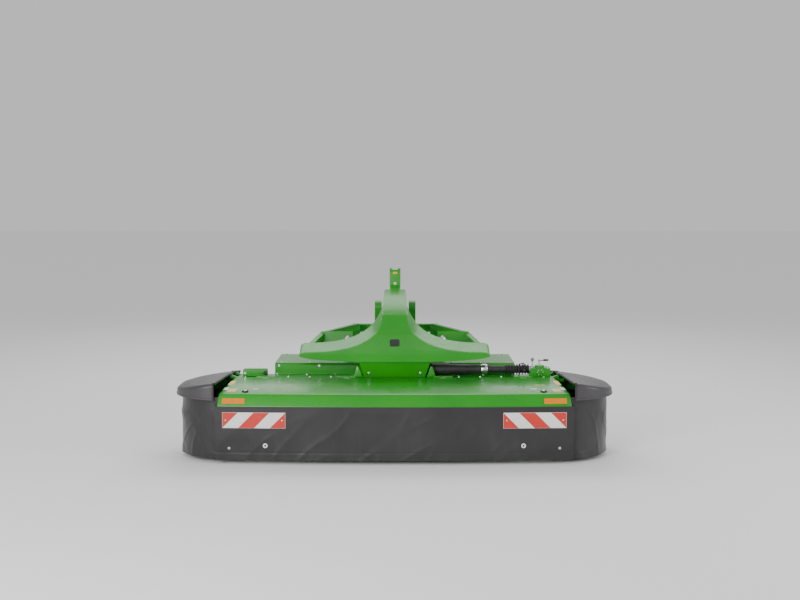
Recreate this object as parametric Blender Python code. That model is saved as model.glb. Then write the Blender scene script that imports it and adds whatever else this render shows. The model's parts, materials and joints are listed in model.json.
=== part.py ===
"""Front disc mower conditioner: steel frame, cutterbar, conditioner, guards and tractor hitch.

Metres, +Z up. The machine's front faces -Y, the tractor stands behind it at +Y,
and the origin lies on the ground under the middle of the machine.
"""
import bpy
import bmesh
from math import sin, cos, radians, pi, sqrt
from mathutils import Matrix, Vector

# ---------------------------------------------------------------- driving sizes
GAP = 0.0003                     # gap between faces that rest on each other
SHEET = 0.005                    # folded steel sheet
PLATE = 0.012                    # heavy steel plate
RUN_GAP = 0.006                  # running gap beside turning pieces

OVERALL_HALF_WIDTH = 2.0         # to the outside of the side covers
FRONT_Y = -1.0                   # front curtain's face
DECK_Z = 0.69                    # top of the fixed deck

SIDE_INNER_FRONT_X = OVERALL_HALF_WIDTH - 0.40      # side cover's inner edge at the front
SIDE_INNER_REAR_X = OVERALL_HALF_WIDTH - 0.515      # and at the back
SIDE_FRONT_Y = FRONT_Y + 0.015
SIDE_REAR_Y = -0.05
SIDE_CROWN_Z = DECK_Z + 0.045
SIDE_EDGE_Z = SIDE_CROWN_Z - 0.080
SIDE_RIM_BOTTOM_Z = SIDE_EDGE_Z - 0.090
SIDE_SHELL = 0.005
SIDE_TRIM = 0.012                # inner edge stands this far outside its hinge line
SIDE_CORNER = 0.36               # corner radii of its plan
SIDE_CORNER_REAR = 0.30
SIDE_CUTS = 5                    # strips that follow its curved top
SIDE_HINGE_DROP = 0.012          # hinge line below the crown
SIDE_HINGE_RADIUS = 0.008
SIDE_BARREL = 0.018              # half length of a hinge barrel
SIDE_EARS_Y = (-0.43, -0.26)
SIDE_CURTAIN_INSET = 0.028

GUARD_HALF_FRONT = SIDE_INNER_FRONT_X - 0.02        # front guard, half width at its lip
GUARD_HALF_REAR = SIDE_INNER_REAR_X - 0.01          # and at its hinge
GUARD_HINGE_Y = -0.47
GUARD_HINGE_Z = DECK_Z + 0.01
GUARD_BEND_Y = FRONT_Y + 0.06    # where the lip folds down
GUARD_BEND_Z = GUARD_HINGE_Z - 0.075
LIP_BOTTOM_Z = GUARD_BEND_Z - 0.110
LIP_Y = FRONT_Y + 0.004
LIP_RETURN = 0.030
GUARD_SHEET = 0.006
HINGE_RADIUS = 0.011
HINGE_GAP = 0.006                # running gap between guard and deck
KNUCKLE_LENGTH = 0.06
KNUCKLE_X = (0.45, GUARD_HALF_REAR - 0.275)

CURTAIN_BOTTOM_Z = 0.04
CURTAIN_THICK = 0.006
CURTAIN_HALF_WIDTH = SIDE_INNER_FRONT_X

WARNING_PLATE_LENGTH = 0.565
WARNING_PLATE_HEIGHT = 0.141
WARNING_PLATE_THICK = 0.003
WARNING_PLATE_X = CURTAIN_HALF_WIDTH - 0.35
WARNING_PLATE_Z = LIP_BOTTOM_Z - 0.115
REFLECTOR_LENGTH = 0.205
REFLECTOR_HEIGHT = 0.052
REFLECTOR_THICK = 0.006
REFLECTOR_X = GUARD_HALF_FRONT - 0.145
LATCH_X = GUARD_HALF_FRONT - 0.24
LATCH_Y = GUARD_BEND_Y + 0.07
LATCH_RADIUS = 0.030
LATCH_HEIGHT = 0.012

DECK_HALF_WIDTH = GUARD_HALF_REAR
DECK_FRONT_Y = GUARD_HINGE_Y + HINGE_GAP
BEAM_Y = -0.255                  # main cross beam, square tube
BEAM_SIZE = 0.09
BEAM_Z = DECK_Z - 0.09
BEAM_FRONT_Y = BEAM_Y - BEAM_SIZE / 2
BEAM_REAR_Y = BEAM_Y + BEAM_SIZE / 2
BEAM_BOTTOM_Z = BEAM_Z - BEAM_SIZE / 2
WEB_X = (0.0, DECK_HALF_WIDTH / 2, DECK_HALF_WIDTH - 0.115)
WEB_THICK = 0.008
END_PLATE_X = OVERALL_HALF_WIDTH - 0.188            # inner face
END_PLATE_TOP_Z = BEAM_Z + 0.048

DISC_COUNT = 8
DISC_LONG_RADIUS = 0.185
DISC_SHORT_RADIUS = 0.150
KNIFE_CLEARANCE = 0.0255         # knife tip to the next disc's short side
KNIFE_END_GAP = 0.020            # outer knife tip to the end plate
DISC_PITCH = (2 * (END_PLATE_X - KNIFE_END_GAP + DISC_SHORT_RADIUS + KNIFE_CLEARANCE)) / (DISC_COUNT + 1)
KNIFE_TIP_RADIUS = DISC_PITCH - DISC_SHORT_RADIUS - KNIFE_CLEARANCE
KNIFE_WIDTH = 0.046
KNIFE_THICK = 0.005
KNIFE_LAP = 0.045                # knife under the disc's rim
BAR_Y = -0.40
BAR_DEPTH = 0.24
BAR_BOTTOM_Z = 0.022
BAR_TOP_Z = 0.078
DISC_THICK = 0.010
DISC_Z = BAR_TOP_Z + 0.022       # underside of the disc's rim
DISC_DOME = 0.045
HUB_RADIUS = 0.070
DRUM_RADIUS = 0.135
DRUM_TOP_RADIUS = 0.105
DRUM_TOP_Z = 0.44
SKID_WIDTH = 0.29
SKID_THICK = 0.010

HOUSING_HALF_WIDTH = 1.14
HOUSING_FRONT_Y = -0.244
HOUSING_TOP_Z = DECK_Z + 0.11
HOUSING_SIDE_BOTTOM_Z = 0.16
HOUSING_WALL = 0.010
ROTOR_Z = 0.42
ROTOR_TUBE_RADIUS = 0.085
ROTOR_TIP_RADIUS = 0.265
ROTOR_STUB_RADIUS = 0.030
ROTOR_HALF_LENGTH = HOUSING_HALF_WIDTH - 0.04
TINE_STATIONS = 20
TINE_ROWS = 3
TINE_ROOT = 0.030
TINE_TIP = 0.012
CONDITIONING_GAP = 0.030         # tine tips to conditioning plate
CONDITIONING_START = 20.0        # degrees from straight up, towards the front
CONDITIONING_END = -62.0
CONDITIONING_RADIUS = ROTOR_TIP_RADIUS + CONDITIONING_GAP
BEAM_CLEARANCE = 0.020           # conditioning plate to beam
ROTOR_Y = BEAM_REAR_Y + sqrt((CONDITIONING_RADIUS + SHEET + BEAM_CLEARANCE) ** 2
                             - (BEAM_BOTTOM_Z - ROTOR_Z) ** 2)
HOUSING_REAR_Y = ROTOR_Y + ROTOR_TIP_RADIUS + 0.025
HOUSING_LIP = 0.03               # rear lip of the housing's roof
DOOR_HINGE_X = HOUSING_HALF_WIDTH - 0.035
DOOR_HINGE_Y = HOUSING_REAR_Y + 0.05
DOOR_LENGTH = 0.45
DOOR_BOTTOM_Z = HOUSING_SIDE_BOTTOM_Z + 0.0153
DOOR_TOP_Z = DOOR_BOTTOM_Z + 0.5294
DOOR_ANGLE = 25.0
DOOR_THICK = 0.008
DOOR_BARREL = 0.012
DOOR_LUG = 0.012

HEAD_BOTTOM_Y = -0.52            # headstock cover: lower edge of its steep face
HEAD_BOTTOM_Z = DECK_Z + 0.16
HEAD_BEND_Y = -0.16              # where it bends to the flatter face
HEAD_BEND_Z = HEAD_BOTTOM_Z + 0.40
HEAD_TOP_Y = 0.40
HEAD_TOP_Z = HEAD_BEND_Z + 0.20
HEAD_BEND_HALF = 0.120
HEAD_TOP_HALF = 0.105
HEAD_TIP_X = 0.87
HEAD_WING_HEIGHT = 0.055
HEAD_DEPTH = 0.21                # wings' depth behind the steep face
HEAD_DEPTH_RISE = 0.07
HEAD_FLARE = 0.045               # the sides open outwards behind the steep face
BOOM_DEPTH = 0.15

PIVOT_HALF_WIDTH = 0.345
PIVOT_FRONT_Y = -0.45
PIVOT_REAR_Y = -0.25
GEARBOX_HALF_WIDTH = 0.11
GEARBOX_FRONT_Y = -0.235
GEARBOX_REAR_Y = 0.02
GEARBOX_TOP_Z = HOUSING_TOP_Z + 0.185
PTO_Z = HOUSING_TOP_Z + 0.095
PTO_RADIUS = 0.0175
PTO_LENGTH = 0.11
PTO_NOSE = 0.03

SHAFT_Y = -0.345                 # cross shaft to the side gearbox
SHAFT_Z = DECK_Z + 0.067
SIDE_BOX_OUTER_X = DECK_HALF_WIDTH - 0.015
SIDE_BOX_INNER_X = SIDE_BOX_OUTER_X - 0.19
SIDE_BOX_TOP_Z = DECK_Z + 0.085
SIDE_CAP_TOP_Z = SIDE_BOX_TOP_Z + 0.020
LEVER_TOP_Z = SIDE_BOX_TOP_Z + 0.070
BELLOWS_LENGTH = 0.235
BELLOWS_RIBS = 6
SHAFT_GUARD_END_X = SIDE_BOX_INNER_X - BELLOWS_LENGTH - 2 * GAP
COLUMN_RADIUS = 0.045

POST_X = 0.40
POST_SIZE = 0.08
POST_Y = 0.76
POST_FRONT_Y = POST_Y - POST_SIZE / 2
POST_REAR_Y = POST_Y + POST_SIZE / 2
POST_BOTTOM_Z = 0.45
CROSS_TOP_Z = HEAD_BOTTOM_Z + 0.21
LINK_Z = 0.62
LINK_PIN_RADIUS = 0.018
LINK_EAR_Y = -FRONT_Y + GAP + WARNING_PLATE_THICK   # as far back as the front plates are forward
LINK_EAR_THICK = 0.0125
LINK_EAR_OUT = 0.0125            # ears stand outside the posts
MAST_HALF_WIDTH = 0.055
MAST_TOP_Z = HEAD_TOP_Z + 0.20
MAST_SLOT_HALF = 0.028
TOP_PIN_RADIUS = 0.0125
SPRING_X = 0.465
SPRING_FRONT = (0.115, HEAD_BOTTOM_Z + 0.135)       # y, z of its front plate
SPRING_REAR = (POST_FRONT_Y - GAP, CROSS_TOP_Z - 0.155)
SPRING_RADIUS = 0.045
DOME_RADIUS = 0.0375
ARM_WIDTH = 0.05
ARM_HEIGHT = 0.06

STAND_X = POST_X + 0.10
STAND_Y = POST_REAR_Y + 0.06
STAND_PIVOT_Z = POST_BOTTOM_Z - 0.03
STAND_TUBE = 0.040
STAND_FOOT = 0.11

GREEN = ("green_paint", (0.045, 0.34, 0.012), 0.28, 0.0)
GREY_PLASTIC = ("grey_plastic", (0.085, 0.080, 0.085), 0.48, 0.0)
CURTAIN = ("curtain_fabric", (0.055, 0.050, 0.053), 0.55, 0.0)
BLACK = ("black_rubber", (0.02, 0.02, 0.02), 0.6, 0.0)
STEEL = ("bare_steel", (0.42, 0.42, 0.43), 0.38, 1.0)
DARK_STEEL = ("dark_steel", (0.10, 0.10, 0.11), 0.45, 1.0)
ZINC = ("zinc_plate", (0.70, 0.71, 0.73), 0.30, 1.0)
RED_WHITE = ("warning_red", (0.80, 0.11, 0.07), 0.35, 0.0)
AMBER = ("amber_reflector", (0.85, 0.42, 0.02), 0.25, 0.0)


# ---------------------------------------------------------------- tools
def clear_scene():
    for item in list(bpy.data.objects):
        bpy.data.objects.remove(item, do_unlink=True)


def material(finish):
    name, colour, roughness, metallic = finish
    found = bpy.data.materials.get(name)
    if found:
        return found
    made = bpy.data.materials.new(name)
    made.use_nodes = True
    shader = made.node_tree.nodes["Principled BSDF"]
    shader.inputs["Base Color"].default_value = (*colour, 1.0)
    shader.inputs["Roughness"].default_value = roughness
    shader.inputs["Metallic"].default_value = metallic
    made.diffuse_color = (*colour, 1.0)
    return made


def add_object(name, work, finish):
    bmesh.ops.remove_doubles(work, verts=work.verts, dist=0.00001)
    bmesh.ops.recalc_face_normals(work, faces=work.faces)
    mesh = bpy.data.meshes.new(name)
    work.to_mesh(mesh)
    work.free()
    item = bpy.data.objects.new(name, mesh)
    bpy.context.collection.objects.link(item)
    mesh.materials.append(material(finish))
    return item


def prism(name, outline, axis, low, high, finish):
    """Closed outline of two coordinates, extruded along X, Y or Z."""
    places = {"X": lambda a, b: (low, a, b),
              "Y": lambda a, b: (a, low, b),
              "Z": lambda a, b: (a, b, low)}
    step = {"X": Vector((high - low, 0, 0)),
            "Y": Vector((0, high - low, 0)),
            "Z": Vector((0, 0, high - low))}[axis]
    work = bmesh.new()
    corners = [work.verts.new(places[axis](a, b)) for a, b in outline]
    face = work.faces.new(corners)
    grown = bmesh.ops.extrude_face_region(work, geom=[face])
    moved = [part for part in grown["geom"] if isinstance(part, bmesh.types.BMVert)]
    bmesh.ops.translate(work, vec=step, verts=moved)
    return add_object(name, work, finish)


def block(name, low, high, finish):
    outline = [(low[0], low[1]), (high[0], low[1]), (high[0], high[1]), (low[0], high[1])]
    return prism(name, outline, "Z", low[2], high[2], finish)


def aimed(start, end):
    """Matrix that stands local Z on the line from start to end."""
    line = Vector(end) - Vector(start)
    turn = Vector((0, 0, 1)).rotation_difference(line.normalized()).to_matrix().to_4x4()
    return Matrix.Translation(Vector(start)) @ turn


def lathe(name, profile, start, end, segments, finish):
    """Profile of (radius, distance from start) turned about the line from start to end."""
    work = bmesh.new()
    rings = []
    for radius, along in profile:
        ring = [work.verts.new((radius * cos(2 * pi * k / segments),
                                radius * sin(2 * pi * k / segments), along))
                for k in range(segments)]
        rings.append(ring)
    for lower, upper in zip(rings, rings[1:]):
        for k in range(segments):
            after = (k + 1) % segments
            work.faces.new((lower[k], lower[after], upper[after], upper[k]))
    work.faces.new(list(reversed(rings[0])))
    work.faces.new(rings[-1])
    bmesh.ops.transform(work, matrix=aimed(start, end), verts=work.verts)
    return add_object(name, work, finish)


def rod(name, start, end, radius, segments, finish):
    length = (Vector(end) - Vector(start)).length
    return lathe(name, [(radius, 0.0), (radius, length)], start, end, segments, finish)


def strut(name, start, end, width, depth, finish):
    """Square-cut bar of width (level) by depth (upright) between two points."""
    line = Vector(end) - Vector(start)
    side = line.cross(Vector((0, 0, 1))).normalized() * width / 2
    rise = side.cross(line).normalized() * depth / 2
    work = bmesh.new()
    ends = []
    for place in (Vector(start), Vector(end)):
        ends.append([work.verts.new(place + a * side + b * rise)
                     for a, b in ((-1, -1), (1, -1), (1, 1), (-1, 1))])
    first, last = ends
    work.faces.new(first)
    work.faces.new(list(reversed(last)))
    for k in range(4):
        after = (k + 1) % 4
        work.faces.new((first[k], last[k], last[after], first[after]))
    return add_object(name, work, finish)


def settle(item):
    """Turns an object's modifiers into mesh."""
    graph = bpy.context.evaluated_depsgraph_get()
    graph.update()
    made = bpy.data.meshes.new_from_object(item.evaluated_get(graph))
    item.modifiers.clear()
    item.data = made


def combine(base, others, operation="UNION"):
    for other in others:
        step = base.modifiers.new(other.name, "BOOLEAN")
        step.operation = operation
        step.solver = "EXACT"
        step.object = other
        settle(base)
        bpy.data.objects.remove(other, do_unlink=True)
    return base


def arc(centre, radius, start, end, steps):
    """Points on an arc, angles in degrees."""
    return [(centre[0] + radius * cos(radians(start + (end - start) * k / steps)),
             centre[1] + radius * sin(radians(start + (end - start) * k / steps)))
            for k in range(steps + 1)]


def sheet_outline(line, thickness):
    """Closed outline of a folded sheet: a line of points and its copy, thickness to the left."""
    offset = []
    for k, point in enumerate(line):
        before = line[max(k - 1, 0)]
        after = line[min(k + 1, len(line) - 1)]
        first = Vector((point[0] - before[0], point[1] - before[1]))
        second = Vector((after[0] - point[0], after[1] - point[1]))
        first = first.normalized() if first.length > 0 else second.normalized()
        second = second.normalized() if second.length > 0 else first
        mid = (first + second).normalized()
        reach = thickness / max(mid.dot(first), 0.2)
        offset.append((point[0] - mid.y * reach, point[1] + mid.x * reach))
    return list(line) + list(reversed(offset))


def sides():
    return (("left", -1), ("right", 1))


# ---------------------------------------------------------------- deck and frame
def taper_ends(item, front_y, rear_y, front_half, rear_half):
    """Moves a prism's two ends onto lines that run in from front to rear."""
    for vert in item.data.vertices:
        share = min(max((vert.co.y - front_y) / (rear_y - front_y), 0.0), 1.0)
        half = front_half + (rear_half - front_half) * share
        vert.co.x = half if vert.co.x > 0 else -half


def knuckle_centres():
    return [sign * x for x in KNUCKLE_X for sign in (-1, 1)]


def side_hinge_point(y):
    share = (y - SIDE_FRONT_Y) / (SIDE_REAR_Y - SIDE_FRONT_Y)
    return SIDE_INNER_FRONT_X + (SIDE_INNER_REAR_X - SIDE_INNER_FRONT_X) * share


def side_hinge_z():
    return SIDE_CROWN_Z - SIDE_HINGE_DROP


def make_deck():
    front = DECK_FRONT_Y
    deck = block("deck_frame", (-DECK_HALF_WIDTH, front, DECK_Z - SHEET),
                 (DECK_HALF_WIDTH, BEAM_REAR_Y, DECK_Z), GREEN)
    beam_half = END_PLATE_X - GAP
    pieces = [block("beam", (-beam_half, BEAM_FRONT_Y, BEAM_BOTTOM_Z),
                    (beam_half, BEAM_REAR_Y, BEAM_Z + BEAM_SIZE / 2), GREEN)]
    web = [(front + 0.02, DECK_Z - 0.003), (front + 0.02, DECK_Z - 0.03), (BEAM_FRONT_Y + 0.01, BEAM_Z - 0.02),
           (BEAM_REAR_Y, BEAM_Z), (BEAM_REAR_Y, DECK_Z - 0.003)]
    for x in sorted({sign * x for x in WEB_X for sign in (-1, 1)}):
        pieces.append(prism("web", web, "X", x - WEB_THICK / 2, x + WEB_THICK / 2, GREEN))
    for centre in knuckle_centres():
        for sign in (-1, 1):
            inner = centre + sign * (KNUCKLE_LENGTH / 2 + GAP)
            outer = centre + sign * (KNUCKLE_LENGTH * 1.5)
            low, high = min(inner, outer), max(inner, outer)
            tab = [(GUARD_HINGE_Y, GUARD_HINGE_Z - 0.006), (GUARD_HINGE_Y, GUARD_HINGE_Z + 0.002),
                   (front + 0.03, DECK_Z + 0.002), (front + 0.03, DECK_Z - 0.004)]
            pieces.append(prism("tab", tab, "X", low, high, GREEN))
            pieces.append(rod("knuckle", (low, GUARD_HINGE_Y, GUARD_HINGE_Z),
                              (high, GUARD_HINGE_Y, GUARD_HINGE_Z), HINGE_RADIUS, 12, GREEN))
    for name, sign in sides():
        for y in SIDE_EARS_Y:
            x = side_hinge_point(y)
            top = side_hinge_z() - SIDE_HINGE_RADIUS - GAP
            ear = [(sign * (DECK_HALF_WIDTH - 0.02), DECK_Z - 0.004), (sign * (x + 0.006), DECK_Z - 0.004),
                   (sign * (x + 0.006), top), (sign * (x - 0.010), top),
                   (sign * (DECK_HALF_WIDTH - 0.02), DECK_Z)]
            pieces.append(prism("ear", ear, "Y", y - 0.02, y + 0.02, GREEN))
    return combine(deck, pieces)


def make_end_plates():
    for name, sign in sides():
        outline = [(BAR_Y - BAR_DEPTH / 2 + 0.02, BAR_BOTTOM_Z + 0.01),
                   (BAR_Y + BAR_DEPTH / 2 - 0.01, BAR_BOTTOM_Z + 0.01),
                   (BEAM_REAR_Y + 0.02, END_PLATE_TOP_Z / 2),
                   (BEAM_REAR_Y + 0.02, END_PLATE_TOP_Z),
                   (BEAM_FRONT_Y - 0.02, END_PLATE_TOP_Z),
                   (BAR_Y - BAR_DEPTH / 2 + 0.02, 0.20)]
        inner, outer = sign * END_PLATE_X, sign * (END_PLATE_X + PLATE)
        prism("end_plate_" + name, outline, "X", inner, outer, GREEN)


# ---------------------------------------------------------------- front guard
def make_front_guard():
    profile = sheet_outline([(LIP_Y + LIP_RETURN, LIP_BOTTOM_Z), (LIP_Y, LIP_BOTTOM_Z),
                             (GUARD_BEND_Y, GUARD_BEND_Z),
                             (GUARD_HINGE_Y - 0.016, GUARD_HINGE_Z)][::-1], GUARD_SHEET)
    panel = prism("front_guard_panel", profile, "X", -1.0, 1.0, GREEN)
    taper_ends(panel, FRONT_Y, GUARD_HINGE_Y, GUARD_HALF_FRONT, GUARD_HALF_REAR)
    pieces = []
    for centre in knuckle_centres():
        low, high = centre - KNUCKLE_LENGTH / 2, centre + KNUCKLE_LENGTH / 2
        tab = [(GUARD_HINGE_Y, GUARD_HINGE_Z - 0.006), (GUARD_HINGE_Y, GUARD_HINGE_Z + 0.006),
               (GUARD_HINGE_Y - 0.05, GUARD_HINGE_Z - 0.007), (GUARD_HINGE_Y - 0.05, GUARD_HINGE_Z - 0.012)]
        pieces.append(prism("tab", tab, "X", low, high, GREEN))
        pieces.append(rod("knuckle", (low, GUARD_HINGE_Y, GUARD_HINGE_Z),
                          (high, GUARD_HINGE_Y, GUARD_HINGE_Z), HINGE_RADIUS, 12, GREEN))
    combine(panel, pieces)
    curtain = block("front_curtain", (-CURTAIN_HALF_WIDTH, FRONT_Y, CURTAIN_BOTTOM_Z),
                    (CURTAIN_HALF_WIDTH, FRONT_Y + CURTAIN_THICK, LIP_BOTTOM_Z - GAP), CURTAIN)
    front = FRONT_Y - GAP
    for name, sign in sides():
        x, z = sign * WARNING_PLATE_X, WARNING_PLATE_Z
        block("warning_plate_" + name,
              (x - WARNING_PLATE_LENGTH / 2, front - WARNING_PLATE_THICK, z - WARNING_PLATE_HEIGHT / 2),
              (x + WARNING_PLATE_LENGTH / 2, front, z + WARNING_PLATE_HEIGHT / 2), RED_WHITE)
        make_reflector(name, sign)
        make_latch(name, sign)
    return panel, curtain


def make_reflector(name, sign):
    run = GUARD_BEND_Y - LIP_Y
    rise = GUARD_BEND_Z - LIP_BOTTOM_Z
    slope = Vector((run, rise)).normalized()
    out = Vector((-slope.y, slope.x))
    middle = Vector((LIP_Y, LIP_BOTTOM_Z)) + slope * (run * run + rise * rise) ** 0.5 * 0.46
    corners = []
    for along, away in ((-1, 0), (1, 0), (1, 1), (-1, 1)):
        point = middle + slope * along * REFLECTOR_HEIGHT / 2
        point = point + out * (GAP + away * REFLECTOR_THICK)
        corners.append((point.x, point.y))
    x = sign * REFLECTOR_X
    prism("reflector_" + name, corners, "X", x - REFLECTOR_LENGTH / 2, x + REFLECTOR_LENGTH / 2, AMBER)


def make_latch(name, sign):
    run = (GUARD_HINGE_Y - 0.016) - GUARD_BEND_Y
    rise = GUARD_HINGE_Z - GUARD_BEND_Z
    out = Vector((0, -rise, run)).normalized()
    z = GUARD_BEND_Z + (LATCH_Y - GUARD_BEND_Y) * rise / run
    foot = Vector((sign * LATCH_X, LATCH_Y, z)) + out * GAP
    lathe("latch_" + name, [(LATCH_RADIUS, 0.0), (LATCH_RADIUS, LATCH_HEIGHT * 0.6),
                            (LATCH_RADIUS * 0.75, LATCH_HEIGHT)],
          foot, foot + out * LATCH_HEIGHT, 20, BLACK)


# ---------------------------------------------------------------- side covers
def side_outline(inset):
    """Plan of the right side cover, from its rear inner corner round the outer end."""
    corner = SIDE_CORNER - inset
    out = OVERALL_HALF_WIDTH - inset
    front = SIDE_FRONT_Y + inset
    rear = SIDE_REAR_Y - inset
    points = [(side_hinge_point(rear) + SIDE_TRIM, rear)]
    points += arc((out - SIDE_CORNER_REAR + inset, rear - SIDE_CORNER_REAR + inset),
                  SIDE_CORNER_REAR - inset, 90, 0, 6)
    points += arc((out - corner, front + corner), corner, 0, -90, 8)
    points.append((side_hinge_point(front) + SIDE_TRIM, front))
    return points


def cover_height(x):
    """Top of the side cover falls from its crown at the inner edge to its outer edge."""
    inner = SIDE_INNER_REAR_X
    share = min(max((x - inner) / (OVERALL_HALF_WIDTH - inner), 0.0), 1.0)
    return SIDE_CROWN_Z + (SIDE_EDGE_Z - SIDE_CROWN_Z) * share ** 1.4


def shaped_cap(outline, drop, bottom, finish, name):
    """Solid with a flat underside at bottom and a top that follows the cover's height less drop."""
    work = bmesh.new()
    lower = [work.verts.new((x, y, bottom)) for x, y in outline]
    face = work.faces.new(lower)
    grown = bmesh.ops.extrude_face_region(work, geom=[face])
    upper = [part for part in grown["geom"] if isinstance(part, bmesh.types.BMVert)]
    for vert in upper:
        vert.co.z = 1.0
    for k in range(SIDE_CUTS):
        x = SIDE_INNER_FRONT_X + 0.02 + k * (OVERALL_HALF_WIDTH - SIDE_INNER_FRONT_X - 0.02) / SIDE_CUTS
        geometry = list(work.verts) + list(work.edges) + list(work.faces)
        bmesh.ops.bisect_plane(work, geom=geometry, plane_co=(x, 0, 0), plane_no=(1, 0, 0))
    for vert in work.verts:
        if vert.co.z > 0.99:
            vert.co.z = cover_height(vert.co.x) - drop
    bmesh.ops.triangulate(work, faces=[face for face in work.faces if len(face.verts) > 4])
    return add_object(name, work, finish)


def make_side_cover(name, sign):
    cover = shaped_cap(side_outline(0.0), 0.0, SIDE_RIM_BOTTOM_Z, GREY_PLASTIC, "side_cover_" + name)
    inner = side_outline(SIDE_SHELL)
    first, last = inner[0], inner[-1]
    inner = [(first[0] - 0.1, first[1])] + inner + [(last[0] - 0.1, last[1])]
    hollow = shaped_cap(inner, SIDE_SHELL, SIDE_RIM_BOTTOM_Z - 0.05, GREY_PLASTIC, "hollow")
    combine(cover, [hollow], "DIFFERENCE")
    pieces = []
    z = side_hinge_z()
    for y in SIDE_EARS_Y:
        low = (side_hinge_point(y - SIDE_BARREL), y - SIDE_BARREL, z)
        high = (side_hinge_point(y + SIDE_BARREL), y + SIDE_BARREL, z)
        pieces.append(rod("barrel", low, high, SIDE_HINGE_RADIUS, 10, GREY_PLASTIC))
        x = side_hinge_point(y)
        strap = [(x, z - 0.003), (x, z + 0.003), (x + SIDE_TRIM + 0.02, SIDE_CROWN_Z - SIDE_SHELL + 0.001),
                 (x + SIDE_TRIM + 0.02, SIDE_CROWN_Z - SIDE_SHELL - 0.006)]
        pieces.append(prism("strap", strap, "Y", y - SIDE_BARREL, y + SIDE_BARREL, GREY_PLASTIC))
    combine(cover, pieces)
    curtain = make_side_curtain(name)
    if sign < 0:
        for item in (cover, curtain):
            mirror_x(item)


def make_side_curtain(name):
    outer = side_outline(SIDE_CURTAIN_INSET)
    inner = side_outline(SIDE_CURTAIN_INSET + CURTAIN_THICK)
    outline = outer + list(reversed(inner))
    top = SIDE_RIM_BOTTOM_Z + 0.03
    curtain = prism("side_curtain_" + name, outline, "Z", CURTAIN_BOTTOM_Z, top, CURTAIN)
    lip_out = side_outline(SIDE_SHELL + GAP)
    lip = prism("hanger", lip_out + list(reversed(inner)), "Z", top - 0.012, top, CURTAIN)
    return combine(curtain, [lip])


def mirror_x(item):
    work = bmesh.new()
    work.from_mesh(item.data)
    bmesh.ops.scale(work, vec=(-1, 1, 1), verts=work.verts)
    bmesh.ops.reverse_faces(work, faces=work.faces)
    work.to_mesh(item.data)
    work.free()


# ---------------------------------------------------------------- cutterbar
def disc_x(index):
    return (index - (DISC_COUNT - 1) / 2) * DISC_PITCH


def make_cutterbar():
    front, rear = BAR_Y - BAR_DEPTH / 2, BAR_Y + BAR_DEPTH / 2
    profile = [(front, BAR_BOTTOM_Z + 0.012), (front + 0.03, BAR_BOTTOM_Z), (rear - 0.02, BAR_BOTTOM_Z),
               (rear, BAR_BOTTOM_Z + 0.02), (rear, BAR_TOP_Z - 0.015), (rear - 0.03, BAR_TOP_Z),
               (front + 0.07, BAR_TOP_Z), (front, BAR_BOTTOM_Z + 0.026)]
    half = END_PLATE_X - GAP
    bar = prism("cutterbar", profile, "X", -half, half, GREEN)
    pieces = []
    for k in range(DISC_COUNT):
        x = disc_x(k)
        skid = sheet_outline([(front - 0.035, BAR_BOTTOM_Z + 0.030), (front + 0.04, SKID_THICK),
                              (rear - 0.02, SKID_THICK), (rear + 0.06, SKID_THICK + 0.012),
                              (rear + 0.09, SKID_THICK + 0.035)][::-1], SKID_THICK)
        pieces.append(prism("skid", skid, "X", x - SKID_WIDTH / 2, x + SKID_WIDTH / 2, GREEN))
        pieces.append(block("pad", (x - 0.06, BAR_Y - 0.06, SKID_THICK - 0.002),
                            (x + 0.06, BAR_Y + 0.06, BAR_BOTTOM_Z + 0.002), GREEN))
        pieces.append(rod("bearing", (x, BAR_Y, BAR_TOP_Z - 0.002), (x, BAR_Y, DISC_Z - GAP),
                          HUB_RADIUS, 16, GREEN))
    return combine(bar, pieces)


def make_disc(index):
    x = disc_x(index)
    turn = 0.0 if index % 2 == 0 else pi / 2
    steps = 24
    outline = []
    for k in range(steps):
        angle = 2 * pi * k / steps
        a, b = DISC_LONG_RADIUS * cos(angle), DISC_SHORT_RADIUS * sin(angle)
        outline.append((x + a * cos(turn) - b * sin(turn), BAR_Y + a * sin(turn) + b * cos(turn)))
    disc = prism("disc_" + str(index + 1), outline, "Z", DISC_Z, DISC_Z + DISC_THICK, DARK_STEEL)
    base = DISC_Z + DISC_THICK / 2
    if index in (0, DISC_COUNT - 1):
        profile = [(DRUM_RADIUS, 0.0), (DRUM_RADIUS, 0.03), (DRUM_TOP_RADIUS, 0.09),
                   (DRUM_TOP_RADIUS, DRUM_TOP_Z - base)]
    else:
        profile = [(0.125, 0.0), (0.105, 0.022), (0.06, DISC_DOME), (0.03, DISC_DOME + 0.006)]
    hub = lathe("hub", profile, (x, BAR_Y, base), (x, BAR_Y, base + 1), 20, DARK_STEEL)
    pieces = [hub]
    for side in (0.0, pi):
        angle = turn + side
        line = Vector((cos(angle), sin(angle), 0))
        middle = Vector((x, BAR_Y, DISC_Z - KNIFE_THICK / 2 + 0.001))
        pieces.append(strut("knife", middle + line * (min(DISC_LONG_RADIUS, KNIFE_TIP_RADIUS) - KNIFE_LAP),
                            middle + line * KNIFE_TIP_RADIUS, KNIFE_WIDTH, KNIFE_THICK, STEEL))
    return combine(disc, pieces)


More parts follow.
